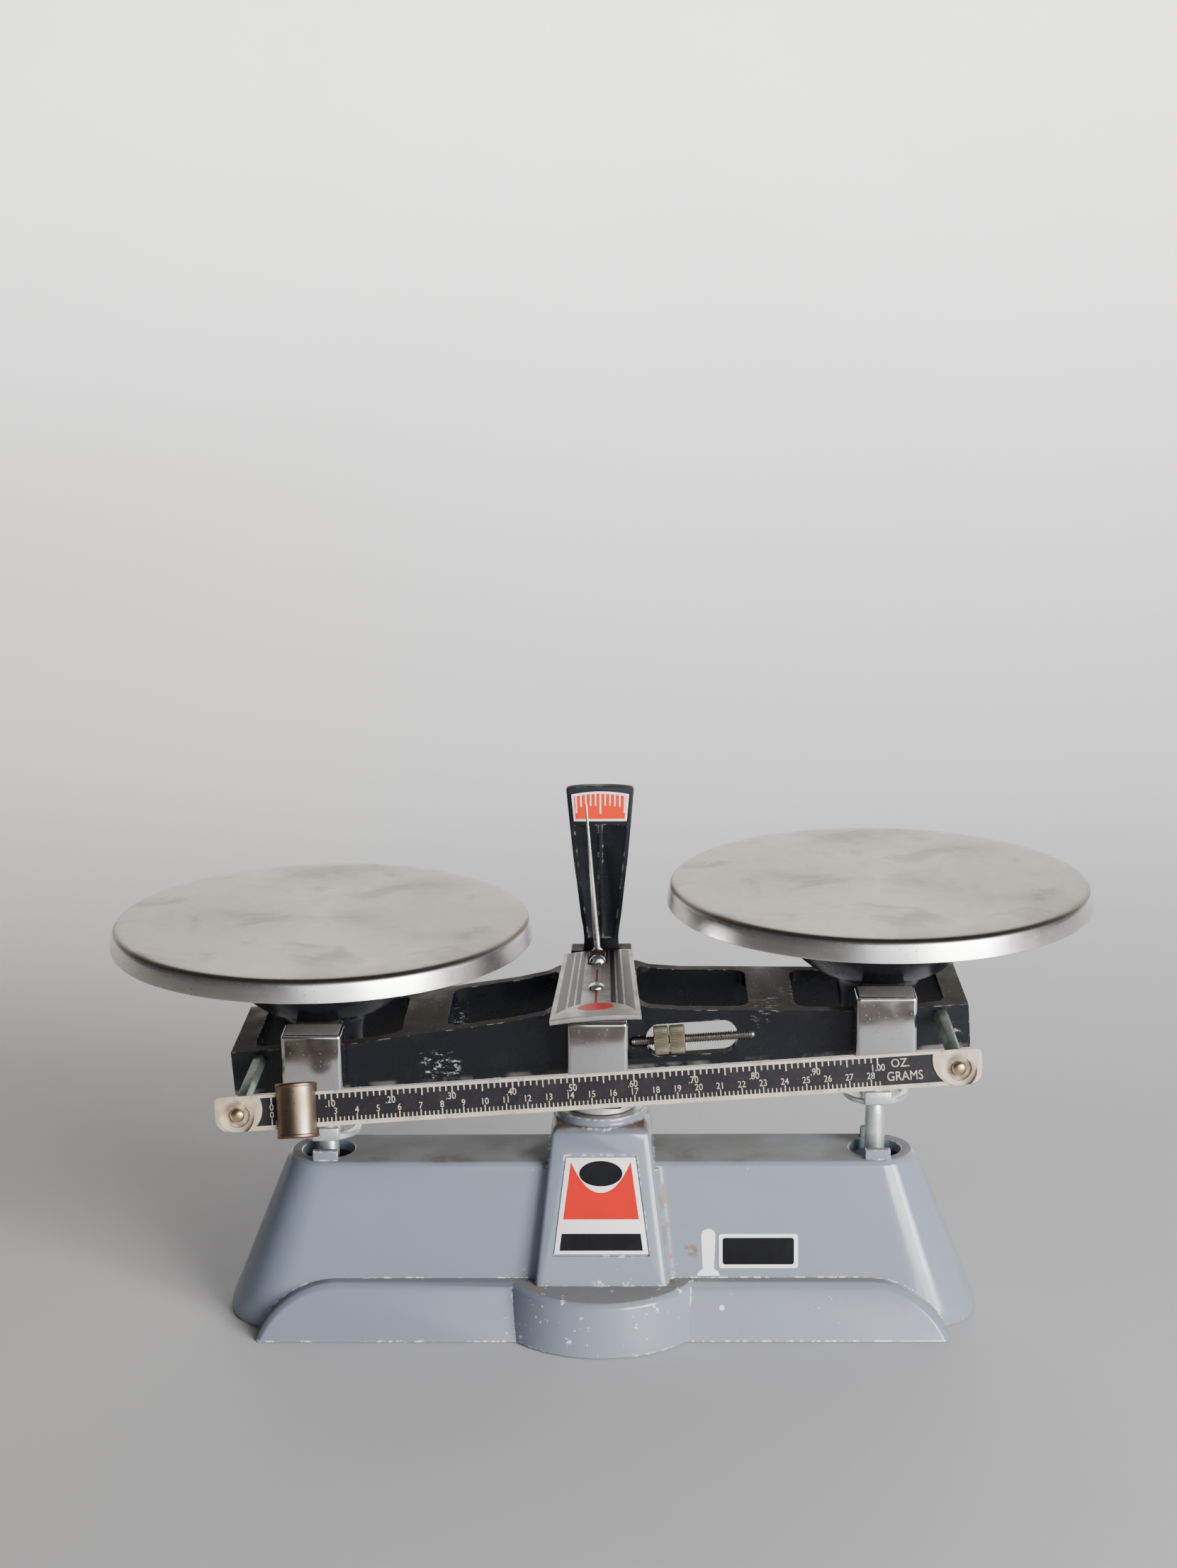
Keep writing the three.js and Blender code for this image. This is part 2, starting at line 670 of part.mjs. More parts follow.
function beamPieces() {
  const group = new THREE.Group();
  group.position.z = PIVOT_Z;
  group.rotation.y = -TILT;
  const centreKnife = plateXZ(knifeOutline(1), [-36.5, 36.5]);
  const endKnife = plateXZ(knifeOutline(-1), [21.8, 36.5]);
  group.add(
    piece('beam_casting', beamCasting(), 'black'),
    piece('centre_knife', centreKnife, 'steel'),
    piece('top_plate', topPlate(), 'striped'),
    piece('pointer', pointer(), 'steel'),
    atBar(piece('rider_bar', riderBar(), 'scale'), 0),
    piece('threaded_rod', threadedRod(), 'steel'),
    atBar(piece('poise', poise(), 'bronze'), POISE.x),
    atBar(piece('poise_spring', poiseSpring(), 'steel'), POISE.x),
    piece('zero_nut_inner', zeroNut(INNER_NUT), 'nickel'),
    piece('zero_nut_outer', zeroNut(OUTER_NUT), 'nickel'),
  );
  for (const [end, x] of [['left', -ARM], ['right', ARM]]) {
    group.add(piece(`${end}_knife_front`, mirrorY(endKnife).translate([x, 0, 0]), 'steel'));
    group.add(piece(`${end}_knife_rear`, endKnife.translate([x, 0, 0]), 'steel'));
  }
  for (const [end, x] of [['left', -STANDOFF_X], ['right', STANDOFF_X]]) {
    const post = piece(`standoff_${end}`, standoff(), 'zinc');
    post.position.set(x, 0, BAR.z);
    const screw = piece(`rider_bar_screw_${end}`, screwY(2.4, 1.8, 1.3, 12), 'steel');
    screw.position.set(x, BAR.y - 0.2 - GAP, BAR.z - 0.2);
    group.add(post, screw);
  }
  const plateScrew = piece('top_plate_screw', screwY(2.6, 1.6, 1.2, 7).rotate([-90, 0, 0]), 'steel');
  plateScrew.position.set(0, PLATE_SCREW_Y, 18.1 + GAP);
  const pointerScrew = piece('pointer_screw', screwY(3.2, 2.2, 1.2, 10), 'steel');
  pointerScrew.position.set(0, LUG.y[0] - GAP, POINTER_SCREW_Z);
  group.add(plateScrew, pointerScrew);
  return group;
}

// ---------------------------------------------------------------- pan carriers, about an end knife edge

/** The trumpet under a pan, with a cross arm whose ends reach down over the bearings. */
function panSupport() {
  const trumpet = turned([
    [0, 2], [13.8, 2], [14.3, 6], [15.5, 11.6], [19, 14.6], [23, 16.5], [25.3, 18.3], [44, 34],
    [46, 44], [46, 46.7], [43, 46.7], [41.5, 36], [23, 20.5], [0, 20.5],
  ]);
  const arms = [-1, 1].map((side) => {
    const y = side < 0 ? [-38, -28.6] : [28.6, 38];
    return cut(box([-6.5, 6.5], y, [1, 12]), blockPocket(side, [-3, 5 + GAP]));
  });
  return cut(
    join(trumpet, box([-8, 8], [-38, 38], [10.2, 16]), ...arms),
    rod('z', STEM_RADIUS + GAP, [0, 12], [0, 0], 24),
  );
}

function pan() {
  return turned([
    [0, 47.8], [72.4, 47.8], [75.2, 45.4], [75.6, 41],
    [PAN_RADIUS, 41], [PAN_RADIUS - 0.3, 46.2], [74.9, 48.3], [72.6, 49], [0, 49],
  ], 56);
}

/** The rod that hangs from the support down to the check link, with an eye at its foot. */
function stem() {
  return cut(
    join(
      rod('z', STEM_RADIUS, [-LINK_DROP, 11.7], [0, 0], 24),
      rod('y', 4.6, [-3.6, 3.6], [0, -LINK_DROP], 24),
    ),
    rod('y', 1.9, [-10, 10], [0, -LINK_DROP], 24),
  );
}

/** The stop collar on a stem: a ring with a bar across it whose ends come down on the base's lugs. */
function stemCollar() {
  const bottom = -33.4;
  const disc = rod('z', 12.15, [bottom, bottom + 2.2], [0, 0], 40);
  const band = cut(disc, rod('z', 9.6, [-40, -20], [0, 0], 32));
  const bar = box([-5.2, 5.2], [-12.4, 12.4], [bottom, bottom + 5.6]);
  return cut(join(band, bar), rod('z', STEM_RADIUS + GAP, [-40, -20], [0, 0], 24));
}

function carrier(end, side) {
  const group = new THREE.Group();
  group.position.x = side * ARM * Math.cos(TILT);
  group.position.z = PIVOT_Z + side * ARM * Math.sin(TILT);
  const block = bearingBlock(-1);
  const sheet = cover(17.4).translate([side < 0 ? -0.5 : 0, 0, 0]);
  group.add(
    piece(`${end}_pan`, pan(), 'pan'),
    piece(`${end}_pan_support`, panSupport(), 'black'),
    piece(`${end}_bearing_front`, mirrorY(block), 'agate'),
    piece(`${end}_bearing_rear`, block, 'agate'),
    piece(`${end}_cover_front`, sheet, 'chrome'),
    piece(`${end}_cover_rear`, mirrorY(sheet), 'chrome'),
    piece(`${end}_stem`, stem(), 'zinc'),
    piece(`${end}_stem_collar`, stemCollar(), 'zinc'),
  );
  return group;
}

// ---------------------------------------------------------------- the whole balance

const balance = new THREE.Group();
balance.add(...fixedPieces(), checkLinkPieces(), beamPieces(), carrier('left', -1), carrier('right', 1));

// the origin is on the table below the middle of the whole balance
balance.updateMatrixWorld(true);
balance.position.y = -new THREE.Box3().setFromObject(balance).getCenter(new THREE.Vector3()).y;

export default balance;
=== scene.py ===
"""A two-pan trip balance with one rider beam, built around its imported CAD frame.

Shapes are drawn in millimetres in the frame of the part they belong to, and scaled to metres.
"""

from math import acos, atan2, cos, hypot, pi, radians, sin, sqrt, tan

import bmesh
import bpy
from mathutils import Matrix, Vector


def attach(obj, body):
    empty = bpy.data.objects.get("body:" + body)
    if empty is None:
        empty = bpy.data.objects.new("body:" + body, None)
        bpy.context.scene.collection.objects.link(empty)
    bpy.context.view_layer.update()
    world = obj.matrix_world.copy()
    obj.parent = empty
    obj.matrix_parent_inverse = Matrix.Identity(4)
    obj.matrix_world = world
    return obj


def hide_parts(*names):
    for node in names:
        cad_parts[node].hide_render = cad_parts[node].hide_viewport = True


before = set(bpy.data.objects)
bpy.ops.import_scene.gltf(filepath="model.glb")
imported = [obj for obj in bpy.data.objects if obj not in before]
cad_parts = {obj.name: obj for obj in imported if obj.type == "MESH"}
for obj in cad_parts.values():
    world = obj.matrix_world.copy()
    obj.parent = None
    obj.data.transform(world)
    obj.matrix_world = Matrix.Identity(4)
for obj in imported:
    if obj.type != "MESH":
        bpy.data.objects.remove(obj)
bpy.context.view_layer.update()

# ---- dimensions, millimetres

SHIFT_Y = 6.6818  # the knife line lies this far behind the origin
TILT = radians(3.8)
ARM = 101.4
PIVOT_Z = 109.4
BAR_Y = -80
BAR_Z = 4.4
BAR_LEAN = radians(20)
STANDOFF_X = 122.2
POISE_X = -101.8
TOP_Z = 60.55  # where the base's long walls end, and how far they have drawn in by then
WALL_RUN = 9.6
KNIFE_DROP = ARM * sin(TILT)
GRAM = 2 * ARM / 28  # 28 g of rider travel equals the distance between the pans
ZERO_X = -110.3

MM = Matrix.Scale(0.001, 4)
LYING = Matrix.Rotation(pi / 2, 4, "X")  # lays +Z down to face the front


def moved(x=0.0, y=0.0, z=0.0):
    return Matrix.Translation((x, y, z))


ROOT = moved(y=SHIFT_Y)
BEAM = ROOT @ moved(z=PIVOT_Z) @ Matrix.Rotation(-TILT, 4, "Y")
BAR = BEAM @ moved(0, BAR_Y, BAR_Z) @ Matrix.Rotation(-BAR_LEAN, 4, "X")
CARRIER = {
    "left": ROOT @ moved(-ARM * cos(TILT), 0, PIVOT_Z - KNIFE_DROP),
    "right": ROOT @ moved(ARM * cos(TILT), 0, PIVOT_Z + KNIFE_DROP),
}
PILLAR_FACE = ROOT @ moved(0, -23.7, 46.95) @ Matrix.Rotation(-atan2(11, 54.7), 4, "X")
WALL_FACE = ROOT @ moved(57.5, -20.36, 29.45) @ Matrix.Rotation(-atan2(WALL_RUN, TOP_Z), 4, "X")

# ---- mesh helpers


def new_object(name, data):
    obj = bpy.data.objects.new(name, data)
    bpy.context.scene.collection.objects.link(obj)
    return obj


def mesh_from(name, verts, faces):
    """A closed mesh with its faces turned outward."""
    mesh = bpy.data.meshes.new(name)
    mesh.from_pydata([tuple(v) for v in verts], [], faces)
    bm = bmesh.new()
    bm.from_mesh(mesh)
    bmesh.ops.remove_doubles(bm, verts=bm.verts, dist=1e-4)
    bmesh.ops.recalc_face_normals(bm, faces=bm.faces)
    bm.to_mesh(mesh)
    bm.free()
    return new_object(name, mesh)


def loft(name, rings, closed=False):
    """A skin over rings of equal length, capped at both ends or closed on itself."""
    count = len(rings[0])
    verts = [p for ring in rings for p in ring]
    faces = []
    spans = len(rings) if closed else len(rings) - 1
    for i in range(spans):
        a, b = i * count, ((i + 1) % len(rings)) * count
        for k in range(count):
            n = (k + 1) % count
            faces.append((a + k, a + n, b + n, b + k))
    if not closed:
        faces.append(tuple(range(count)))
        faces.append(tuple(range(len(verts) - count, len(verts))))
    return mesh_from(name, verts, faces)


def turned(name, profile, steps=96, centre=(0, 0)):
    """A solid of revolution about Z. A profile that stays off the axis closes on itself."""
    rings = []
    for r, z in profile:
        ring = []
        for k in range(steps):
            a = 2 * pi * k / steps
            ring.append((centre[0] + r * cos(a), centre[1] + r * sin(a), z))
        rings.append(ring)
    return loft(name, rings, closed=profile[0][0] > 0.001)


def rod(radius, low, high, steps=32, centre=(0, 0)):
    """A plain round tool for cutting bores."""
    return turned("rod", [(0, low), (radius, low), (radius, high), (0, high)], steps, centre)


def prism(name, outline, low, high, plane="XZ"):
    """A flat outline pushed along the third axis."""
    rings = []
    for depth in (low, high):
        if plane == "XZ":
            rings.append([(x, depth, z) for x, z in outline])
        else:
            rings.append([(x, y, depth) for x, y in outline])
    return loft(name, rings)


def block(name, x, y, z):
    return prism(name, [(x[0], y[0]), (x[1], y[0]), (x[1], y[1]), (x[0], y[1])], z[0], z[1], "XY")


def arc(cx, cy, r, start, end, steps=8):
    """Points of an arc, angles in degrees."""
    points = []
    for i in range(steps + 1):
        a = radians(start + (end - start) * i / steps)
        points.append((cx + r * cos(a), cy + r * sin(a)))
    return points


def rounded(x, y, radii, steps=8):
    """A rectangle with one corner radius, or four from the lower left, counter-clockwise."""
    (x0, x1), (y0, y1) = x, y
    r0, r1, r2, r3 = radii if isinstance(radii, tuple) else (radii,) * 4
    return (
        arc(x0 + r0, y0 + r0, r0, 180, 270, steps)
        + arc(x1 - r1, y0 + r1, r1, 270, 360, steps)
        + arc(x1 - r2, y1 - r2, r2, 0, 90, steps)
        + arc(x0 + r3, y1 - r3, r3, 90, 180, steps)
    )


def mirrored(points):
    """The points of one side, followed by their mirror images back to the start."""
    return points + [(-x, z) for x, z in points[::-1]]


def applied(obj):
    """The object with its modifiers made permanent."""
    graph = bpy.context.evaluated_depsgraph_get()
    mesh = bpy.data.meshes.new_from_object(obj.evaluated_get(graph))
    obj.modifiers.clear()
    obj.data = mesh
    return obj


def combine(obj, tools, operation):
    for tool in tools:
        boolean = obj.modifiers.new("boolean", "BOOLEAN")
        boolean.operation = operation
        boolean.solver = "EXACT"
        boolean.object = tool
        applied(obj)
        bpy.data.objects.remove(tool)
    return obj


def cut(obj, *tools):
    return combine(obj, tools, "DIFFERENCE")


def join(obj, *tools):
    return combine(obj, tools, "UNION")


def soften(obj, width, segments=3, angle=28):
    """Rounds the sharp edges."""
    bevel = obj.modifiers.new("bevel", "BEVEL")
    bevel.width = width
    bevel.segments = segments
    bevel.limit_method = "ANGLE"
    bevel.angle_limit = radians(angle)
    return applied(obj)


def turn(obj, matrix):
    obj.data.transform(matrix)
    return obj


def merge(name, objects):
    """Separate closed solids kept in one object."""
    verts, faces = [], []
    for obj in objects:
        start = len(verts)
        verts += [v.co.copy() for v in obj.data.vertices]
        faces += [tuple(start + i for i in p.vertices) for p in obj.data.polygons]
        bpy.data.objects.remove(obj)
    mesh = bpy.data.meshes.new(name)
    mesh.from_pydata(verts, [], faces)
    return new_object(name, mesh)


def finish(obj, place, body, material, replaces=(), sharp=35):
    """Smooths the shading, places the piece and ties it to the frame."""
    mesh = obj.data
    mesh.transform(MM)
    mesh.materials.clear()
    for item in material if isinstance(material, (list, tuple)) else [material]:
        mesh.materials.append(item)
    mesh.shade_smooth()
    mesh.set_sharp_from_angle(angle=radians(sharp))
    metres = place.copy()
    metres.translation = place.translation * 0.001
    obj.matrix_world = metres
    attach(obj, body)
    if replaces:
        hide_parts(*replaces)
    return obj


def second_material(obj, chosen):
    """Gives the second material to the faces picked by their centre, in millimetres, and normal."""
    for face in obj.data.polygons:
        if chosen(face.center * 1000, face.normal):
            face.material_index = 1


# ---- material helpers


class Look:
    """A Principled material, built up from procedural masks."""

    def __init__(self, name, color, rough, metal=0.0):
        self.material = bpy.data.materials.new(name)
        self.material.use_nodes = True
        self.tree = self.material.node_tree
        self.shader = self.tree.nodes["Principled BSDF"]
        self.material.diffuse_color = (*color, 1)
        self.color = (*color, 1)
        self.rough = rough
        self.gloss = None
        self.height = None
        self.metal = metal
        coords = self.tree.nodes.new("ShaderNodeTexCoord")
        self.coords = coords.outputs["Object"]

    def node(self, kind, **inputs):
        made = self.tree.nodes.new(kind)
        for key, value in inputs.items():
            self.feed(made.inputs[key.replace("_", " ")], value)
        return made

    def feed(self, socket, value):
        if isinstance(value, bpy.types.NodeSocket):
            self.tree.links.new(value, socket)
        else:
            socket.default_value = value

    def noise(self, scale, detail, rough=0.55, stretch=None, distortion=0.0):
        coords = self.coords
        if stretch:
            coords = self.node("ShaderNodeMapping", Vector=coords, Scale=stretch).outputs["Vector"]
        made = self.node("ShaderNodeTexNoise", Vector=coords, Scale=scale, Detail=detail,
                         Roughness=rough, Distortion=distortion)
        return made.outputs["Fac"]

    def patch(self, low, high, *noise, **more):
        """Noise with its contrast raised between two levels."""
        return self.ramp(self.noise(*noise, **more), low, high)

    def spots(self, scale, size, soft):
        """Round specks, 1 inside."""
        made = self.node("ShaderNodeTexVoronoi", Vector=self.coords, Scale=scale)
        return self.ramp(made.outputs["Distance"], size + soft, size)

    def ramp(self, value, low, high):
        """0 at low, 1 at high; low may be the larger."""
        made = self.node("ShaderNodeMapRange", Value=value)
        made.interpolation_type = "SMOOTHSTEP"
        ends = (low, high, 0.0, 1.0) if low < high else (high, low, 1.0, 0.0)
        for key, number in zip(("From Min", "From Max", "To Min", "To Max"), ends):
            made.inputs[key].default_value = number
        return made.outputs["Result"]

    def maths(self, operation, a, b=0.0):
        made = self.tree.nodes.new("ShaderNodeMath")
        made.operation = operation
        self.feed(made.inputs[0], a)
        self.feed(made.inputs[1], b)
        return made.outputs[0]

    def times(self, *values):
        result = values[0]
        for value in values[1:]:
            result = self.maths("MULTIPLY", result, value)
        return result

    def axis(self, name, coords=None):
        parts = self.node("ShaderNodeSeparateXYZ", Vector=coords or self.coords)
        return parts.outputs[name]

    def upward(self, low, high):
        """1 on faces that look up."""
        geometry = self.tree.nodes.new("ShaderNodeNewGeometry")
        return self.ramp(self.axis("Z", geometry.outputs["Normal"]), low, high)

    def edges(self, radius, low, high):
        """1 near sharp edges, found from how a rounded normal differs from the real one."""
        geometry = self.tree.nodes.new("ShaderNodeNewGeometry")
        bevel = self.tree.nodes.new("ShaderNodeBevel")
        bevel.samples = 4
        bevel.inputs["Radius"].default_value = radius
        dot = self.tree.nodes.new("ShaderNodeVectorMath")
        dot.operation = "DOT_PRODUCT"
        self.feed(dot.inputs[0], geometry.outputs["Normal"])
        self.feed(dot.inputs[1], bevel.outputs["Normal"])
        return self.ramp(dot.outputs["Value"], 1 - low, 1 - high)

    def paint(self, mask, color, rough=None, metal=None):
        """Lays a colour, and perhaps another roughness and metalness, over a mask or a product of some."""
        if isinstance(mask, tuple):
            mask = self.times(*mask)
        made = self.tree.nodes.new("ShaderNodeMix")
        made.data_type = "RGBA"
        self.feed(made.inputs["Factor"], mask)
        self.feed(made.inputs[6], self.color)
        self.feed(made.inputs[7], (*color, 1))
        self.color = made.outputs[2]
        if rough is not None:
            self.rough = self.between(mask, self.rough, rough)
        if metal is not None:
            self.metal = self.between(mask, self.metal, metal)

    def between(self, mask, low, high):
        made = self.tree.nodes.new("ShaderNodeMix")
        self.feed(made.inputs["Factor"], mask)
        self.feed(made.inputs[2], low)
        self.feed(made.inputs[3], high)
        return made.outputs[0]

    def dull(self, mask, low=0.06):
        """Takes the sheen off where dust or dirt lies."""
        self.gloss = self.between(mask, 0.5, low)

    def band(self, name, low, high, soft):
        """1 between two positions along an axis, in millimetres."""
        value = self.axis(name)
        start = self.ramp(value, (low - soft) * 0.001, (low + soft) * 0.001)
        stop = self.ramp(value, (high + soft) * 0.001, (high - soft) * 0.001)
        return self.times(start, stop)

    def rougher(self, mask, amount):
        self.rough = self.maths("ADD", self.rough, self.times(mask, amount))

    def raise_by(self, mask, millimetres):
        lift = self.times(mask, millimetres * 0.001)
        self.height = lift if self.height is None else self.maths("ADD", self.height, lift)

    def grain(self, millimetres, *noise):
        """Lifts the surface by noise of a given height."""
        self.raise_by(self.noise(*noise), millimetres)

    def done(self):
        self.feed(self.shader.inputs["Base Color"], self.color)
        self.feed(self.shader.inputs["Roughness"], self.rough)
        self.feed(self.shader.inputs["Metallic"], self.metal)
        if self.gloss is not None:
            self.feed(self.shader.inputs["Specular IOR Level"], self.gloss)
        if self.height is not None:
            bump = self.node("ShaderNodeBump", Height=self.height)
            bump.inputs["Distance"].default_value = 1.0
            self.feed(self.shader.inputs["Normal"], bump.outputs["Normal"])
        return self.material


# ---- materials

RUST = (0.16, 0.075, 0.035)


def base_enamel():
    look = Look("base_enamel", (0.172, 0.196, 0.25), 0.1)
    look.paint(look.patch(0.35, 0.7, 9, 3), (0.19, 0.213, 0.266))
    grime = look.times(look.patch(0.48, 0.7, 14, 5), look.band("Z", -5, 16, 8))
    look.paint((grime, 0.35), (0.2, 0.2, 0.2), 0.4)
    film = look.maths("ADD", look.times(look.patch(0.3, 0.7, 40, 6), 0.3), 0.7)
    dust = look.times(look.upward(0.93, 0.99), film)
    look.paint(dust, (0.185, 0.187, 0.184), 0.75)
    stain = look.times(look.upward(0.5, 0.9), look.band("Z", 60.8, 78, 0.3), look.patch(0.53, 0.66, 17, 5))
    look.paint((stain, 0.7), (0.085, 0.066, 0.045), 0.8)
    shoulder = look.times(look.band("Z", 74.6, 77.4, 0.4), look.upward(0.5, 0.9))
    look.paint((shoulder, look.patch(0.3, 0.6, 120, 5)), (0.11, 0.075, 0.045), 0.8)
    rust = look.times(look.edges(0.004, 0.02, 0.2), look.patch(0.57, 0.68, 60, 5))
    look.paint((rust, 0.6), RUST, 0.7)
    away = look.maths("ADD", look.axis("X"), look.times(look.axis("Z"), 0.117))
    corner = look.times(look.ramp(away, 0.0262, 0.0274), look.ramp(away, 0.0305, 0.0288))
    seam = look.times(corner, look.band("Z", 19, 61, 2), look.patch(0.46, 0.56, 190, 5, 0.7))
    look.paint((seam, 0.75), (0.15, 0.1, 0.055), 0.7)
    spill = look.times(look.band("X", 30, 38, 1.5), look.band("Z", 27, 38, 2))
    look.paint((spill, look.patch(0.52, 0.56, 150, 5, 0.7), 0.9), (0.16, 0.09, 0.04), 0.7)
    chips = look.times(look.edges(0.0011, 0.012, 0.06), look.patch(0.5, 0.55, 420, 4, 0.7))
    gate = look.patch(0.44, 0.5, 28, 3)
    look.paint((chips, gate), (0.78, 0.77, 0.75), 0.45)
    specks = look.times(look.spots(370, 0.06, 0.02), look.patch(0.6, 0.64, 31, 3))
    low = look.times(look.band("X", -38, 38, 3), look.band("Z", -5, 22, 2))
    flakes = look.times(look.patch(0.63, 0.66, 230, 5, 0.7), low)
    look.paint(look.maths("MAXIMUM", specks, flakes), (0.66, 0.66, 0.65))
    dark = look.times(look.spots(240, 0.05, 0.02), look.patch(0.58, 0.64, 31, 2))
    look.paint((dark, 0.7), (0.1, 0.1, 0.1))
    look.dull(look.maths("MAXIMUM", dust, look.times(stain, 0.9)), 0.02)
    look.rougher(look.noise(160, 4), 0.06)
    look.grain(0.04, 130, 3)
    look.grain(0.004, 900, 2)
    return look.done()


def black_enamel():
    look = Look("black_enamel", (0.006, 0.007, 0.01), 0.24)
    look.paint((look.patch(0.4, 0.8, 70, 5), 0.5), (0.013, 0.014, 0.017), 0.4)
    dust = look.times(look.upward(0.75, 0.98), look.patch(0.1, 0.55, 45, 6))
    look.paint((dust, 0.8), (0.07, 0.06, 0.05), 0.8)
    lint = look.times(look.spots(520, 0.08, 0.03), look.upward(0.2, 0.9))
    look.paint((lint, 0.7), (0.4, 0.38, 0.34), 0.8)
    worn = look.times(look.edges(0.0006, 0.02, 0.1), look.patch(0.55, 0.62, 260, 4))
    look.paint((worn, 0.8), (0.35, 0.34, 0.32), 0.45)
    fine = look.patch(0.57, 0.6, 700, 6, 0.8, (0.4, 1, 1))
    rubbed = look.times(look.band("X", -64, -51, 2), look.band("Z", -7, 3, 1.5))
    look.paint((fine, rubbed), (0.42, 0.43, 0.44), 0.5)
    look.paint((fine, look.patch(0.68, 0.72, 22, 2)), (0.3, 0.3, 0.3), 0.5)
    edge_dust = look.times(look.band("Z", -9, -6.6, 0.6), look.patch(0.42, 0.6, 90, 5))
    look.paint((edge_dust, 0.6), (0.16, 0.145, 0.125), 0.8)
    look.dull(look.maths("MAXIMUM", look.maths("MAXIMUM", dust, edge_dust), 0.45), 0.05)
    look.grain(0.03, 320, 3)
    return look.done()


def chrome_sheet():
    look = Look("chrome_sheet", (0.56, 0.55, 0.55), 0.13, 1.0)
    look.rougher(look.patch(0.4, 0.8, 120, 5), 0.12)
    haze = look.patch(0.45, 0.75, 55, 5, 0.6, (1, 1, 0.5))
    look.paint((haze, 0.5), (0.4, 0.39, 0.37))
    # Painted highlight: the rounded edges of the sheet are painted near-white, standing in for the light
    # they catch.
    rim_highlight = look.edges(0.0016, 0.015, 0.12)
    look.paint((rim_highlight, 0.8), (0.95, 0.94, 0.93), 0.3)
    dust = look.times(look.upward(0.9, 0.99), look.patch(0.1, 0.5, 90, 6))
    look.paint((dust, 0.95), (0.14, 0.13, 0.118), 0.7, 0.0)
    look.dull(dust)
    look.paint((look.spots(620, 0.09, 0.04), 0.8), (0.13, 0.12, 0.1), 0.6, 0.4)
    look.grain(0.12, 26, 2)
    return look.done()


def pan_steel():
    look = Look("pan_steel", (0.2, 0.18, 0.152), 0.3, 1.0)
    look.shader.inputs["Anisotropic"].default_value = 0.3
    x, y = look.axis("X"), look.axis("Y")
    radius = look.maths("SQRT", look.maths("ADD", look.times(x, x), look.times(y, y)))
    flat = look.upward(0.9, 0.99)
    annulus = look.times(look.ramp(radius, 0.054, 0.064), look.ramp(radius, 0.0745, 0.072), flat)
    look.paint((annulus, 0.5), (0.22, 0.2, 0.172))
    patch = look.times(flat, look.patch(0.44, 0.66, 15, 5, 0.6, distortion=0.4))
    look.paint((patch, 0.6), (0.14, 0.122, 0.098), 0.36)
    stain = look.patch(0.52, 0.66, 34, 6, 0.65, distortion=0.6)
    look.paint((stain, 0.4), (0.08, 0.062, 0.045), 0.42)
    pale = look.times(flat, look.patch(0.54, 0.7, 21, 5, 0.6))
    look.paint((pale, 0.55), (0.25, 0.232, 0.205), 0.28)
    # Painted reflection: the skirt and the other steep faces are painted near-white and glossier than the
    # top, standing in for the bright light they reflect.
    side = look.maths("SUBTRACT", 1.0, look.upward(0.3, 0.7))
    look.paint((side, 0.9), (0.78, 0.765, 0.745), 0.2)
    ring_space = look.node("ShaderNodeCombineXYZ", X=radius, Y=0.0, Z=0.0)
    rings = look.node(
        "ShaderNodeTexNoise", Vector=ring_space.outputs["Vector"], Scale=1800.0, Detail=3.0
    )
    look.raise_by(rings.outputs["Fac"], 0.0018)
    look.grain(0.003, 520, 5, 0.7, (1, 0.35, 1), 1.4)
    look.rougher(look.noise(210, 5), 0.1)
    pits = look.times(look.spots(430, 0.085, 0.03), look.patch(0.46, 0.56, 32, 3))
    look.paint((pits, 0.85), (0.1, 0.085, 0.07), 0.6)
    return look.done()


def worn_metal(name, color, rough, dark, scale=220, grain=0.01, metal=1.0):
    """Plain metal with a darker patina in patches, fine grain and dulled hollows."""
    look = Look(name, color, rough, metal)
    look.paint((look.patch(0.38, 0.72, scale, 5), 0.7), dark, rough + 0.14)
    look.paint((look.spots(scale * 4, 0.1, 0.05), 0.5), tuple(c * 0.5 for c in dark))
    look.rougher(look.noise(scale * 3, 3), 0.1)
    look.grain(grain, scale * 5, 4)
    return look.done()


def printed(name, color, worn, rough=0.4):
    """Printing ink with slight fading and scratches."""
    look = Look(name, color, rough)
    look.paint((look.patch(0.5, 0.85, 140, 5), 0.4), worn)
    scratch = look.times(
        look.patch(0.68, 0.72, 500, 3, 0.6, (1, 1, 0.15)), look.patch(0.54, 0.62, 60, 3)
    )
    look.paint((scratch, 0.5), tuple(c * 0.6 + 0.2 for c in worn))
    look.dull(look.maths("ADD", 0.65, look.times(look.noise(90, 3), 0.3)))
    look.grain(0.004, 900, 2)
    return look.done()


def scale_cream():
    look = Look("scale_cream", (0.46, 0.4, 0.315), 0.5)
    look.paint((look.patch(0.42, 0.7, 150, 6), 0.7), (0.3, 0.235, 0.18), 0.6)
    tops = look.times(look.upward(0.6, 0.95), look.patch(0.25, 0.5, 90, 5))
    look.paint((tops, 0.85), (0.2, 0.13, 0.115), 0.65)
    ends = look.maths("SUBTRACT", 1.0, look.band("X", -114.5, 114, 1.5))
    look.paint((ends, look.patch(0.35, 0.7, 160, 4), 0.6), (0.38, 0.24, 0.14), 0.5)
    across = look.maths("SUBTRACT", look.maths("ABSOLUTE", look.axis("X")), STANDOFF_X * 0.001)
    up = look.axis("Z")
    reach = look.maths("SQRT", look.maths("ADD", look.times(across, across), look.times(up, up)))
    ring = look.times(look.ramp(reach, 0.0052, 0.0036), look.patch(0.3, 0.6, 300, 4))
    look.paint((ring, 0.75), (0.1, 0.062, 0.035), 0.5)
    look.paint((look.patch(0.6, 0.68, 420, 4), 0.6), (0.15, 0.12, 0.1))
    look.grain(0.03, 600, 3)
    return look.done()


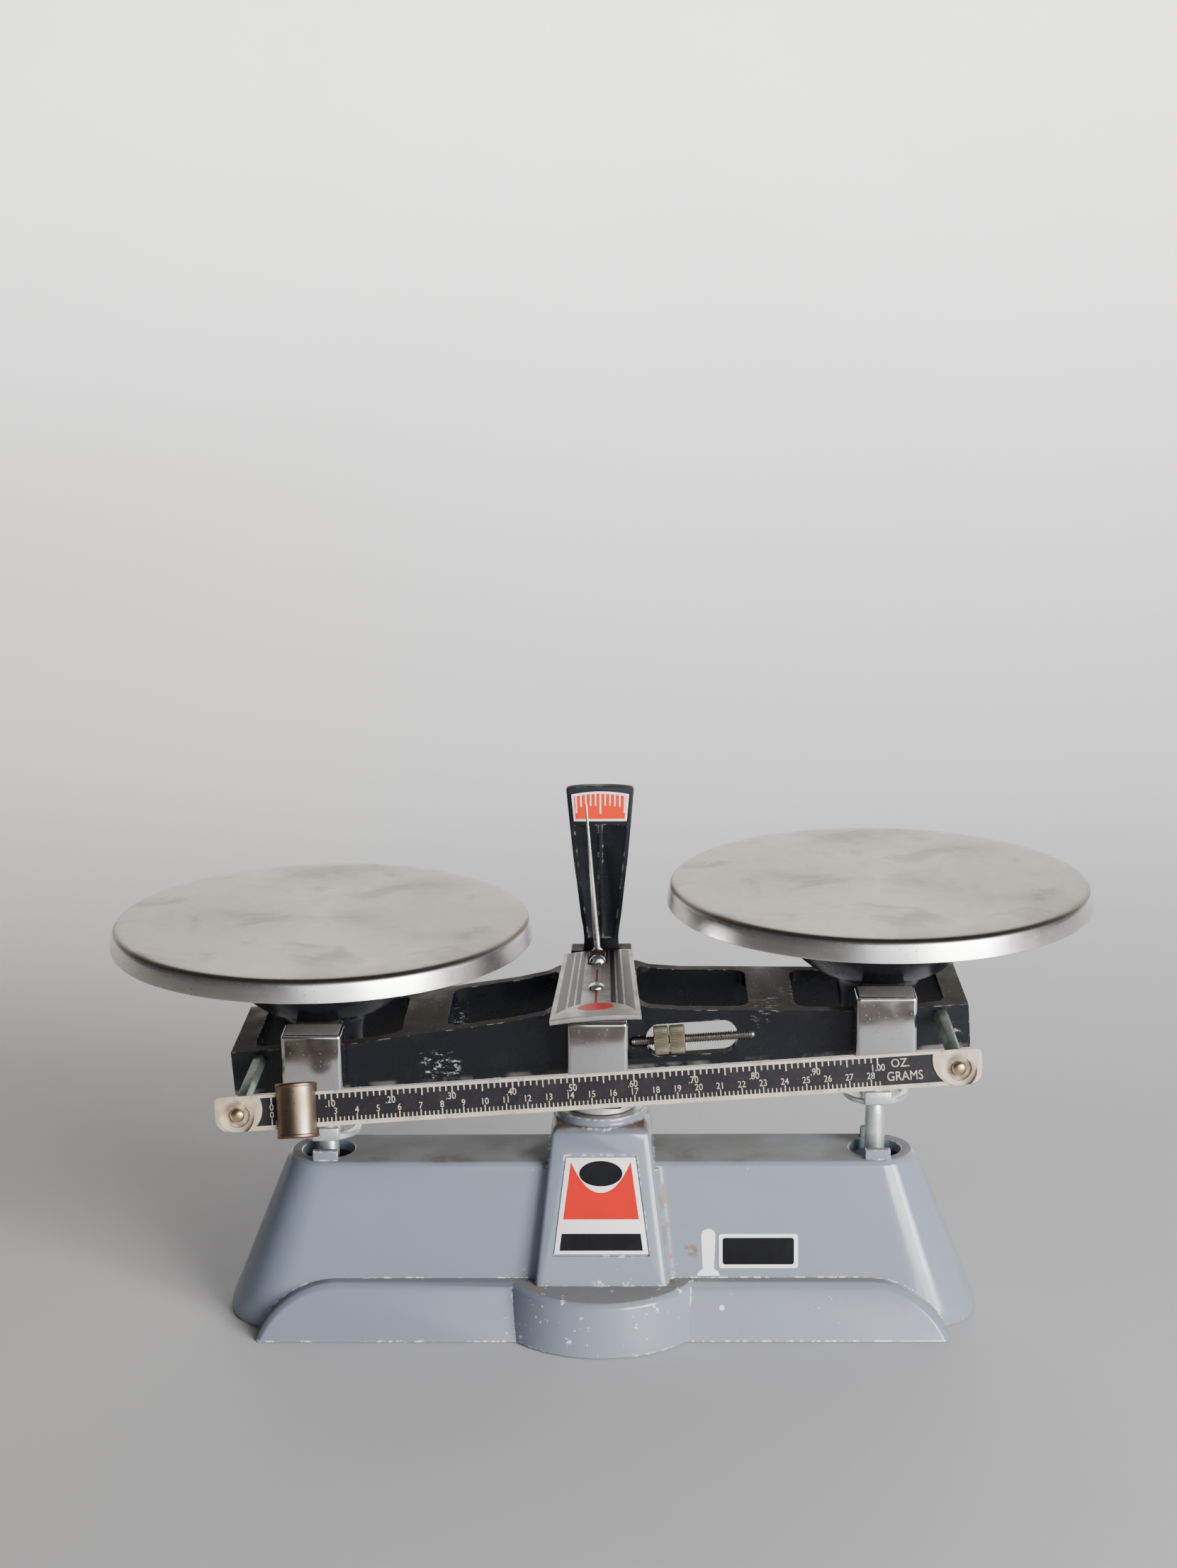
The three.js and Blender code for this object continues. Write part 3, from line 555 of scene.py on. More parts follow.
def scale_dark():
    look = Look("scale_dark", (0.013, 0.012, 0.015), 0.45)
    look.paint((look.patch(0.45, 0.75, 180, 6), 0.6), (0.028, 0.024, 0.026), 0.6)
    look.paint((look.spots(700, 0.07, 0.04), 0.4), (0.16, 0.14, 0.12))
    look.dull(look.maths("ADD", 0.6, look.times(look.noise(90, 3), 0.3)))
    look.grain(0.03, 500, 3)
    return look.done()


def zinc():
    look = Look("zinc", (0.62, 0.65, 0.63), 0.34, 0.8)
    look.paint((look.patch(0.45, 0.72, 260, 6, 0.7), 0.6), (0.4, 0.43, 0.41), 0.5)
    look.paint((look.patch(0.52, 0.68, 90, 4), 0.6), (0.74, 0.75, 0.73), 0.45, 0.3)
    look.paint((look.spots(900, 0.11, 0.05), 0.6), (0.17, 0.16, 0.14), 0.6)
    look.grain(0.12, 420, 5, 0.65)
    look.grain(0.25, 110, 3)
    return look.done()


def agate():
    look = Look("agate", (0.2, 0.13, 0.09), 0.14)
    bands = look.node("ShaderNodeTexWave", Vector=look.coords, Scale=160.0, Distortion=6.0)
    look.paint((bands.outputs["Fac"], 0.6), (0.36, 0.27, 0.2))
    look.rougher(look.noise(300, 3), 0.06)
    return look.done()


ENAMEL = base_enamel()
BLACK = black_enamel()
CHROME = chrome_sheet()
PAN = pan_steel()
ZINC = zinc()
CREAM = scale_cream()
GROUND = scale_dark()
AGATE = agate()
STEEL = worn_metal("bright_steel", (0.45, 0.44, 0.42), 0.28, (0.27, 0.25, 0.22))
NEEDLE = worn_metal("needle_steel", (0.7, 0.685, 0.65), 0.2, (0.5, 0.46, 0.4), grain=0.001)
BRIGHT = worn_metal("bright_screw", (0.8, 0.79, 0.77), 0.16, (0.45, 0.42, 0.38), 500, 0.002)
HIDDEN_STEEL = worn_metal("oiled_steel", (0.26, 0.25, 0.24), 0.35, (0.13, 0.115, 0.1))
BARE_TOP = worn_metal("bare_top", (0.48, 0.46, 0.42), 0.4, (0.26, 0.22, 0.17), 120)
NICKEL = worn_metal("knurled_nickel", (0.34, 0.31, 0.22), 0.36, (0.2, 0.175, 0.115), 300)
THREAD = worn_metal("thread_steel", (0.27, 0.26, 0.24), 0.3, (0.1, 0.09, 0.075), 400)
PATINA = worn_metal("standoff_patina", (0.17, 0.21, 0.185), 0.42, (0.09, 0.12, 0.1), 150, 0.03, 0.6)
BRASS = worn_metal("screw_brass", (0.6, 0.47, 0.3), 0.22, (0.34, 0.24, 0.14), 400, 0.003)
BRONZE = worn_metal("poise_bronze", (0.27, 0.215, 0.165), 0.3, (0.16, 0.112, 0.078), 90, 0.02)
COPPER = worn_metal("poise_rim", (0.26, 0.165, 0.112), 0.34, (0.14, 0.08, 0.052), 160, 0.02)
PLATE = worn_metal("striped_plate", (0.3, 0.292, 0.272), 0.36, (0.17, 0.158, 0.14), 110, 0.004, 0.75)
INK_BLACK = printed("ink_black", (0.004, 0.004, 0.006), (0.014, 0.014, 0.017))
INK_GREY = printed("ink_grey", (0.042, 0.04, 0.038), (0.07, 0.067, 0.062))
INK_RED = printed("ink_red", (0.52, 0.006, 0.005), (0.42, 0.014, 0.01))
INK_MAROON = printed("ink_maroon", (0.2, 0.008, 0.008), (0.24, 0.03, 0.025))
INK_WHITE = printed("ink_white", (0.8, 0.79, 0.76), (0.62, 0.6, 0.55))
INK_ORANGE = printed("ink_orange", (0.68, 0.03, 0.004), (0.58, 0.06, 0.02))

# ---- base

FLOOR_HALF = 115  # half the straight part, at the floor and at the top
TOP_HALF = 101
WALL = 4  # thickness
STEP_FOOT_Y = -34.4  # the front step's face at the floor, and its lean per mm of height
STEP_LEAN = 0.359
STEP_TOP = 19.6
DOT = (43.9, 11.5)  # across and up, on the front step


def stadium(straight, radius, z, per_end=24):
    ring = []
    for end in (1, -1):
        for i in range(per_end + 1):
            a = -pi / 2 + pi * i / per_end
            ring.append((end * (straight + radius * cos(a)), end * radius * sin(a), z))
    return ring


def wall_depth(z):
    """How far the long walls stand from the middle at a height."""
    return 25 - WALL_RUN * z / TOP_Z


def body_ring(z, inset=0.0):
    rise = max(z - 4.5, 0) / 56.05
    return stadium(FLOOR_HALF - 14 * rise, wall_depth(z) - inset, z)


def base_body():
    rings = [stadium(FLOOR_HALF, 24.6, 0), stadium(FLOOR_HALF - 0.1, 24.86, 0.4)]
    rings += [body_ring(z) for z in (1.2, 3.5, 4.8, 6.5, 20, 40, 59.7, 60.3)]
    edge = [(15.3, 60.62), (15.1, 60.88), (14.55, 61.45), (14.25, 61.72), (13.9, 61.92), (13.4, 62)]
    rings += [stadium(TOP_HALF, radius, z) for radius, z in edge]
    return loft("base_casting", rings)


def base_hollow():
    rings = [body_ring(z, WALL) for z in (-1, 4.5, 20, 40, 56.5)]
    rings += [stadium(TOP_HALF, 11.4, 57.6), stadium(TOP_HALF, 10.6, 58)]
    return loft("hollow", rings)


def apron(inset=0.0):
    """The step along the front, as rings of its elevation from back to front."""
    top, radius = STEP_TOP - inset, 32.5 - inset
    base = -1.0 if inset else 0.0
    outline = []
    steps = 20
    reach = acos((radius - (top - base)) / radius)
    for i in range(steps + 1):
        a = reach * (1 - i / steps)
        outline.append((97 + radius * sin(a), top - radius + radius * cos(a), sin(a), cos(a)))
    rings = []
    offsets = [(0, 24), (0, 2.3), (0.1, 1.75), (0.38, 1.35), (1.25, 0.38), (1.55, 0.14), (2.1, 0)]
    if inset:
        offsets = [(0, 24), (0, 0)]
    for shrink, depth in offsets:
        ring = []
        for side in (1, -1):
            row = outline if side > 0 else outline[::-1]
            for x, z, nx, nz in row:
                zz = max(z - shrink * nz, base)
                y = STEP_FOOT_Y + inset + STEP_LEAN * zz + depth
                ring.append((side * (x - shrink * nx), y, zz))
        rings.append(ring)
    return loft("apron", rings)


def bulge(inset=0.0):
    profile = [(0, 0), (40.8, 0), (41.15, 0.4), (38.62, 17.5), (38.5, 18.05), (38.25, 18.45),
               (37.15, 19.35), (36.8, 19.55), (36.2, STEP_TOP), (0, STEP_TOP)]
    if inset:
        top = STEP_TOP - inset
        profile = [(0, -1), (41.2 - inset, -1), (38.3 - inset, top), (0, top)]
    return turned("bulge", profile, 96, (0, -7.5))


def pillar_ring(half, front, back, z, corner=1.4):
    ring = []
    turns = ((1, back, 1), (-1, back, 1), (-1, front, -1), (1, front, -1))
    for index, (side, edge, sign) in enumerate(turns):
        along = (side * (half - corner), edge)
        middle = (side * (half - 0.38 * corner), edge - sign * 0.38 * corner)
        across = (side * half, edge - sign * corner)
        trio = [across, middle, along] if index % 2 == 0 else [along, middle, across]
        ring += [(x, y, z) for x, y in trio]
    return ring


def pillar(inset=0.0):
    if inset:
        return loft("pillar", [
            pillar_ring(26.6 - inset, -33.1 + inset, 26 - inset, -1),
            pillar_ring(18.4 - inset, -19 + inset, 19 - inset, 70.1),
        ])
    return loft("pillar", [
        pillar_ring(26.6, -33.1, 26, 0),
        pillar_ring(17.95, -18.3, 18.3, 73.8),
        pillar_ring(17.85, -18.1, 18.1, 74.3),
        pillar_ring(17.6, -17.9, 17.9, 74.65),
        pillar_ring(16.5, -16.85, 16.85, 75.75),
        pillar_ring(16.2, -16.55, 16.55, 76),
        pillar_ring(15.7, -16.05, 16.05, 76.1),
    ])


def fillet(side, face):
    """A concave blend where the pillar's side meets a long wall; face is -1 front, 1 rear."""
    rings = []
    for z in (17.5, 30, 45, 60.2):
        half = 26.6 - 8.7 * z / 74.3
        wall = wall_depth(z)
        r = 3.6
        corner = [(half - 1.2, wall - 1.2), (half + r, wall - 1.2)]
        curve = arc(half + r, wall + r, r, 270, 180, 8)
        points = corner + curve + [(half - 1.2, wall + r)]
        rings.append([(side * x, face * y, z) for x, y in points])
    return loft("fillet", rings)


def base_casting():
    obj = base_body()
    join(obj, pillar(), apron(), bulge())
    join(obj, *[fillet(side, face) for face in (-1, 1) for side in (-1, 1)])
    boss = turned("boss", [(0, 74), (17.4, 74), (17.4, 76.1), (16.9, 76.3), (16.5, 76.9), (16.4, 77.5),
                           (16.4, 78.5), (16.2, 79), (15.7, 79.2), (0, 79.2)])
    join(obj, boss)
    for side in (-1, 1):
        for y in ((-13, -10.2), (10.2, 13)):
            lug = block("lug", (side * ARM - 4.65, side * ARM + 4.65), y, (60, 65.8))
            join(obj, soften(lug, 0.5))
    hollow = base_hollow()
    join(hollow, pillar(WALL), bulge(WALL), apron(WALL))
    cut(obj, hollow)
    for side in (-1, 1):
        hole = [(0, 50), (9.6, 50), (9.6, 61.3), (9.68, 61.7), (9.95, 61.93), (10.6, 62.05), (10.6, 63)]
        cut(obj, turned("hole", hole + [(0, 63)], 72, (side * ARM, 0)))
    cut(obj, rod(3.4, 60, 90, 48))
    recess = prism("recess", [(-13, 20), (-17.7, -17), (17.7, -17), (13, 20)], -5, 0.8)
    turn(recess, moved(y=-SHIFT_Y) @ PILLAR_FACE)
    cut(obj, recess)
    finish(obj, ROOT, "base", [ENAMEL, BARE_TOP], ["base_casting"])
    second_material(obj, lambda c, n: n.z > 0.9 and c.z > 79.1 and hypot(c.x, c.y) < 16)


def decal(name, outline, place, material, depth=(-0.05, 0.0)):
    """A thin flat patch of one colour, drawn in X and Z, facing -Y."""
    finish(prism(name, outline, *depth), place, "base", material)


def nameplate():
    plate = prism("nameplate", [(-12.6, 19.3), (-17.2, -16.2), (17.2, -16.2), (12.6, 19.3)], 0, 0.5)
    soften(plate, 0.12, 2)
    finish(plate, PILLAR_FACE, "base", INK_WHITE, ["nameplate"])

    def half(z):
        return 14.7 - (z + 3) * 0.129

    low, high = -3.4, 17.8
    field = [(-half(low) + 0.9, low), (half(low) - 0.9, low), (half(high) - 1.1, high)]
    dip = []
    for i in range(17):
        x = (half(high) - 1.1) * (1 - i / 8)
        dip.append((x, 6.4 + 11.4 * abs(1 - i / 8) ** 2.2))
    decal("nameplate_red", field[:2] + dip, PILLAR_FACE, INK_RED, (-0.04, 0.02))
    ellipse = [(7.9 * cos(a * pi / 24), 13.4 + 4.7 * sin(a * pi / 24)) for a in range(48)]
    decal("nameplate_oval", ellipse, PILLAR_FACE, INK_BLACK, (-0.08, 0.02))
    low, high = -14.9, -8.6
    band = [(-half(low) + 1, low), (half(low) - 1, low), (half(high) - 1, high), (-half(high) + 1, high)]
    decal("nameplate_band", band, PILLAR_FACE, INK_BLACK, (-0.04, 0.02))


def side_label():
    label = prism("side_label", rounded((-14.5, 14.5), (-6.35, 6.35), 1), -0.25, 0.04)
    finish(label, WALL_FACE, "base", INK_WHITE, ["side_label"])
    field = rounded((-13.1, 13.1), (-5, 5), 1)
    decal("side_label_field", field, WALL_FACE, INK_BLACK, (-0.3, 0.0))


def wall_marks():
    """Two white paint marks near the side label: a tongue on a wider foot, and a dot on the step."""
    foot = [(4.1 * cos(radians(a)), -9.2 + 2.9 * sin(radians(a))) for a in range(180, -1, -15)]
    left, right = foot[:5], foot[-5:]
    tongue = left + arc(0, 5.7, 2.6, 180, 0, 12) + right
    decal("wall_mark_tongue", tongue, WALL_FACE @ moved(-18.3), INK_WHITE)
    on_step = ROOT @ moved(DOT[0], STEP_FOOT_Y + STEP_LEAN * DOT[1], DOT[1])
    leaning = on_step @ Matrix.Rotation(-atan2(STEP_LEAN, 1), 4, "X")
    decal("wall_mark_dot", arc(0, 0, 0.95, 0, 345, 23), leaning, INK_WHITE)


# ---- column, covers, pointer scale

ARM_Y = {1: ((28.6, 38), (28, 36.3)), -1: ((-38, -28.6), (-36.3, -28))}  # each arm and its pocket
BRACKET_SCREW_Z = 91.8


def fork_arm(end, half, z, pocket_z, rounding):
    """The rear or front arm of a fork, with the pocket that holds its bearing."""
    y, pocket_y = ARM_Y[end]
    arm = soften(block("arm", (-half, half), y, z), rounding)
    return cut(arm, block("pocket", (-4.5, 4.5), pocket_y, pocket_z))


def column_yoke():
    obj = turned("column_yoke", [(0, 79.5), (12.6, 79.5), (13, 79.8), (13, 82), (12.7, 82.4), (12.2, 82.7),
                                 (12.2, 87.6), (11.8, 88), (0, 88)], 96)
    rear = soften(block("bar", (-8, 8), (-12, 40.7), (87.5, 95.5)), 0.8)
    front = soften(block("bar", (-8, 8), (-38, -8), (91.2, 97.5)), 0.8)
    arms = [fork_arm(end, 8, (92, 107), (104.1, 120), 0.6) for end in (-1, 1)]
    join(obj, rear, front, *arms)
    finish(obj, ROOT, "base", [BLACK, ZINC], ["column_yoke"])
    second_material(obj, lambda c, n: c.z < 88.2 and hypot(c.x, c.y) < 13.1)


def sheet_cover(name, top, place, body, side):
    """A sheet box over one bearing, open below and towards the beam."""
    outer = block("outer", (-10.7, 10.7), (-40.2, -20), (top - 40, top))
    soften(outer, 1.5, 5)
    cut(outer, block("trim", (-20, 20), (-28, 0), (top - 50, top + 10)))
    cut(outer, block("trim", (-20, 20), (-60, 0), (top - 50, top - 28)))
    inner = block("inner", (-9.9, 9.9), (-39.4, -15), (top - 45, top - 0.8))
    soften(inner, 0.8, 3)
    cut(outer, inner)
    if side > 0:
        turn(outer, Matrix.Rotation(pi, 4, "Z"))
    outer.name = name
    finish(outer, place, body, CHROME, [name])


def covers(which, top, place, body):
    """The front and rear covers of one pair of bearings."""
    sheet_cover(f"{which}_cover_front", top, place, body, -1)
    sheet_cover(f"{which}_cover_rear", top, place, body, 1)


def scale_bracket():
    """The upright behind the pointer, with a raised rim, a foot and a leg down to the yoke."""
    right = [(7.1, 126), (6.6, 129), (6.5, 132), (6.9, 136), (7.7, 141), (8.8, 151), (10.15, 162),
             (11.5, 176), (12.75, 189.8)]
    top = [(12.75 * cos(a), 189.8 + 1.3 * sin(a)) for a in [pi * i / 16 for i in range(1, 16)]]
    outline = right + top + [(-x, z) for x, z in right[::-1]]
    plate = soften(prism("scale_bracket", outline, 37.5, 41.5), 0.5)
    foot = soften(block("foot", (-11.5, 11.5), (36, 46), (124.9, 127.1)), 0.5)
    leg = soften(block("leg", (-8, 8), (41, 44), (88, 126)), 0.5)
    join(plate, foot, leg)
    pocket = mirrored([(x - 1.6, z) for x, z in right[2:-1]])
    cut(plate, soften(prism("pocket", pocket, 30, 38.0), 0.2, 2))
    rib = [(-0.7, 131), (0.7, 131), (0.9, 176.5), (-0.9, 176.5)]
    join(plate, soften(prism("rib", rib, 37.6, 38.6), 0.3, 2))
    for x in (-4.5, 4.5):
        cut(plate, turn(rod(1.6, -8, 8, 24), moved(x, 42, BRACKET_SCREW_Z) @ LYING))
    finish(plate, ROOT, "base", BLACK, ["scale_bracket"])


def dial_curve(low, high, half_low, half_high, rise):
    top = []
    for i in range(13):
        t = 1 - i / 6
        top.append((half_high * t, high + rise * (1 - t * t)))
    return [(-half_low, low), (half_low, low)] + top


def dial():
    plate = prism("dial_plate", dial_curve(177.7, 188, 9.9, 10.8, 1.1), 36.7, 37.2)
    soften(plate, 0.1, 2)
    finish(plate, ROOT, "base", INK_WHITE, ["dial_plate"])
    decal("dial_field", dial_curve(178.55, 187.25, 9.25, 9.85, 1.05), ROOT, INK_ORANGE, (36.66, 36.75))
    ticks = []
    for i in range(-5, 6):
        lean = i * 0.006
        length = {0: 7.9, 5: 6.7}.get(abs(i), 4.7)
        half = 0.25 if i else 0.3
        x_high = i * 1.83 + 0.1
        z_high = 188.5 - 0.0105 * x_high ** 2
        x_low = x_high - length * tan(lean)
        z_low = z_high - length
        foot = [(x_low - half, z_low), (x_low + half, z_low)]
        head = [(x_high + half, z_high), (x_high - half, z_high)]
        ticks.append(prism("tick", foot + head, 36.6, 36.72))
    finish(merge("dial_ticks", ticks), ROOT, "base", INK_WHITE)


def screw_shape(name, radius, height, shank, length, cross=True):
    """A domed screw along +Z, with or without a cross cut in its head."""
    profile = [(0, -length), (shank, -length), (shank, 0), (radius * 0.96, 0), (radius, 0.12 * height)]
    for i in range(1, 9):
        a = radians(i * 11.25)
        profile.append((radius * cos(a), height * (0.12 + 0.88 * sin(a))))
    profile[-1] = (0, height)
    obj = turned(name, profile, 40)
    for angle in (0.5, 0.5 + pi / 2) if cross else ():
        arm = prism("arm", [(-radius * 0.62, height + 1), (-radius * 0.24, height * 0.25),
                            (radius * 0.24, height * 0.25), (radius * 0.62, height + 1)], -0.36, 0.36)
        turn(arm, Matrix.Rotation(angle, 4, "Z"))
        cut(obj, arm)
    return obj


def screw(name, place, body, material, size, facing="-Y"):
    """A screw of a given head radius, head height, shank radius and length."""
    turns = {"-Y": LYING, "+Y": Matrix.Rotation(-pi / 2, 4, "X"), "+Z": Matrix()}
    obj = screw_shape(name, *size)
    turn(obj, turns[facing])
    finish(obj, place, body, material, [name])


# ---- beam

SLOT_X = (16.9, 49.6)
SLOT_Z = (-4.1, 8.2)
ROD_Y = -25.5  # the axis of the zero screw, and where it starts and ends
ROD_Z = 2
ROD_X = (11, 56)
POINTER_SCREW_Z = 17.9
PLATE_SCREW_Y = -10.5
PLATE_TOP = 17.35  # the top plate's edges


def beam_top(x):
    """Height of the beam's top edge at a distance along it."""
    x = abs(x)
    if x <= 13.5:
        return 16.3
    if x <= 20:
        t = (x - 13.5) / 6.5
        return 16.3 - 1.95 * (3 * t * t - 2 * t ** 3)
    if x <= 30:
        t = (x - 20) / 10
        return 14.35 - 1.42 * t
    if x <= 90:
        return 12.93 - 4.53 * (x - 30) / 60
    return 8.4 - 0.4 * (x - 90) / 42.2


def knife_hole(up):
    grow = 0.35
    outline = [(0, -2 * grow * up), (2.6 + grow, 4.6 * up), (2.6 + grow, (7 + grow) * up),
               (-2.6 - grow, (7 + grow) * up), (-2.6 - grow, 4.6 * up)]
    return prism("knife_hole", outline, -40, 40)


def beam_casting():
    stations = [132.2, 120, 105, 90, 75, 60, 45, 30, 25, 20, 19, 17.5, 16, 14.5, 13.5]
    right = [(x, beam_top(x)) for x in stations]
    outline = [(-132.2, -8.1), (132.2, -8.1)] + mirrored(right)
    obj = prism("beam_casting", outline, -26, 26)
    for x in ((70.8, 124.4), (14.5, 54.4), (-124.4, -70.8), (-54.4, -14.5)):
        cut(obj, prism("opening", rounded(x, (-21.4, 21.4), 5.2), -20, 30, "XY"))
    for x, top in (((50, 76), 6.1), ((118, 128.6), 4.7), ((-76, -50), 6.1), ((-128.6, -118), 4.7)):
        cut(obj, block("under", x, (-21.4, 21.4), (-20, top)))
    cut(obj, block("under", (-20, 20), (-21.4, 21.4), (-20, 13)))
    cut(obj, prism("slot", rounded(SLOT_X, SLOT_Z, 5.5, 10), -30, -15))
    soften(obj, 0.55, 3, 32)
    groove = turned("groove", [(0, 10.7), (1.2, 10.7), (2.2, 12.2), (2.2, 54.8), (1.2, 56.3), (0, 56.3)], 32)
    cut(obj, turn(groove, moved(0, ROD_Y, ROD_Z) @ Matrix.Rotation(pi / 2, 4, "Y")))
    join(obj, soften(block("lug", (-3.2, 3.2), (21, 28), (12.5, 20.6)), 0.5))
    seat = turn(rod(3.6, 0, 5), moved(0, 21, POINTER_SCREW_Z) @ LYING)
    cut(obj, seat, knife_hole(1))
    for x in (-ARM, ARM):
        cut(obj, turn(knife_hole(-1), moved(x)))
    finish(obj, BEAM, "beam", BLACK, ["beam_casting"])


def crown(x):
    """Lift of the top plate's upper face over its edges."""
    return 0.75 * (1 - (x / 16.5) ** 2)


def plate_half(y):
    return 12.9 + 3.3 * (35.5 - y) / 76.9


def crescent(share):
    """The curved end of the stripes."""
    return -26.2 - (15.1 - sqrt(max(15.1 ** 2 - (share * 16) ** 2, 0.0)))


def oval_edge(side):
    """The front or rear edge of the red oval, as a curve for drape."""
    return lambda share: -31.4 + side * (3.9 * sqrt(max(1 - (share / 0.41) ** 2, 0.0)))


def drape(name, x_low, x_high, low, high, bottom, top, columns=8):
    """A thin sheet that follows the crown between two curves y = low(x) and y = high(x)."""
    rings = []
    for k in range(columns + 1):
        share = x_low + (x_high - x_low) * k / columns
        ring = []
        for edge, lift in ((low, bottom), (high, bottom), (high, top), (low, top)):
            y = edge(share)
            x = share * plate_half(y)
            ring.append((x, y, PLATE_TOP + crown(x) + lift))
        rings.append(ring)
    return loft(name, rings)


def top_plate():
    obj = drape("top_plate", -1, 1, lambda u: -41.0, lambda u: 35.5, -0.75, 0, 24)
    lip = []
    for k in range(25):
        x = 16.2 * (k / 12 - 1)
        z = PLATE_TOP + crown(x)
        lip.append([(x, -40.5, z - 0.75), (x, -40.5, z - 1.9), (x, -40.9, z - 2.1), (x, -41.4, z - 1.8),
                    (x, -41.5, z - 0.7), (x, -41.2, z - 0.15), (x, -40.8, z)])
    join(obj, loft("lip", lip))
    cut(obj, prism("slot", rounded((-3.6, 3.6), (18, 40), (1.5, 1.5, 0.1, 0.1)), 10, 25, "XY"))
    cut(obj, rod(1.6, 10, 25, 32, (0, PLATE_SCREW_Y)))
    soften(obj, 0.12, 2, 40)
    finish(obj, BEAM, "beam", PLATE, ["top_plate"])
    stripes = {"black": [], "grey": []}
    for side in (-1, 1):
        for inner, outer in ((0.345, 0.465), (0.505, 0.635), (0.68, 0.885)):
            ends = sorted((side * inner, side * outer))
            strip = drape("stripe", ends[0], ends[1], crescent, lambda u: 34.9, -0.05, 0.03, 4)
            stripes["black" if side > 0 and inner < 0.4 else "grey"].append(strip)
    for ink, material in (("black", INK_BLACK), ("grey", INK_GREY)):
        finish(merge(f"top_plate_stripes_{ink}", stripes[ink]), BEAM, "beam", material)
    line = drape("top_plate_line", -0.03, 0.03, lambda u: -28, lambda u: 11.6, -0.05, 0.035, 1)
    cut(line, rod(3.1, 10, 25, 24, (0, PLATE_SCREW_Y)))
    finish(line, BEAM, "beam", INK_MAROON)
    oval = drape("top_plate_oval", -0.4, 0.4, oval_edge(-1), oval_edge(1), -0.05, 0.04, 24)
    finish(oval, BEAM, "beam", INK_RED)


def pointer():
    """A flat foot that narrows into a fine rounded needle."""
    foot = [(-3, 16), (3, 16), (3, 18), (2.5, 19.6), (1.2, 21.4), (-1.2, 21.4), (-2.5, 19.6), (-3, 18)]
    obj = soften(prism("pointer", foot, 28.4, 29.4), 0.15, 2)
    rings = []
    for z, half in ((20.4, 1.2), (30, 1.08), (45, 0.88), (60, 0.66), (72, 0.48), (76.6, 0.38), (77.5, 0.12)):
        rings.append([(half * cos(a * pi / 8), 28.9 + half * 0.55 * sin(a * pi / 8), z) for a in range(16)])
    join(obj, loft("needle", rings))
    cut(obj, turn(rod(1.5, -3, 3, 24), moved(0, 29, POINTER_SCREW_Z) @ LYING))
    finish(obj, BEAM, "beam", NEEDLE, ["pointer"])


def threaded_rod():
    """A fine helical thread between rounded tips."""
    pitch, steps, around = 0.9, 8, 28
    start, end = ROD_X
    length = float(end - start)
    rings = []
    count = int(length / pitch * steps)
    for i in range(count + 1):
        x = start + length * i / count
        tip = min(x - start, end - x)
        limit = 1.8 if tip > 1.8 else 0.3 + 1.2 * sqrt(max(1 - (1 - tip / 1.8) ** 2, 0.0))
        ring = []
        for k in range(around):
            a = 2 * pi * k / around
            phase = (x / pitch - a / (2 * pi)) % 1.0
            r = min(1.2 + 0.6 * (1 - abs(2 * phase - 1)), max(limit, 0.05))
            ring.append((x, ROD_Y + r * cos(a), ROD_Z + r * sin(a)))
        rings.append(ring)
    finish(loft("threaded_rod", rings), BEAM, "beam", THREAD, ["threaded_rod"], 60)


def knurled_nut(name, start, width, body):
    """A finely knurled thumb nut with small chamfers."""
    teeth = 60
    rings = []
    half = [(0, 2.15, 0), (0, 4.75, 0), (0.08, 4.9, 0), (0.3, 5.12, 0.08), (0.42, 5.2, 0.2)]
    for x, r, depth in half + [(width - x, r, depth) for x, r, depth in half[::-1]]:
        ring = []
        for k in range(teeth * 3):
            a = 2 * pi * k / (teeth * 3)
            rr = r - (depth if k % 3 == 0 else 0)
            ring.append((start + x, ROD_Y + rr * cos(a), ROD_Z + rr * sin(a)))
        rings.append(ring)
    obj = loft(name, rings, closed=True)
    finish(obj, BEAM, body, NICKEL, [name], 20)


def standoff(name, x):
    flat = 4.8 / sqrt(3)
    near = -26.02
    back = BAR_Y + 1.5 / cos(BAR_LEAN) + 0.05
    rings = []
    for t in (0.0, 0.012, 0.988, 1.0):
        size = flat - (0.3 if t in (0.0, 1.0) else 0.0)
        ring = []
        for k in range(6):
            a = pi * k / 3
            dx, dz = size * cos(a), size * sin(a)
            far = back + tan(BAR_LEAN) * dz
            ring.append((x + dx, near + (far - near) * t, BAR_Z + dz))
        rings.append(ring)
    obj = soften(loft(name, rings), 0.18, 2)
    finish(obj, BEAM, "beam", PATINA, [name])


def field_outline():
    """The sunk dark field: straight edges, and ends that bow round the two screws."""
    outline = []
    for end, middle in ((1, 2.4), (-1, 1.4)):
        for i in range(9):
            z = (-4.5 + 9.4 * i / 8) * end + (0 if end > 0 else 0.4)
            reach = sqrt(8.7 ** 2 - (z - middle) ** 2)
            outline.append((end * (STANDOFF_X - reach), z))
    return outline


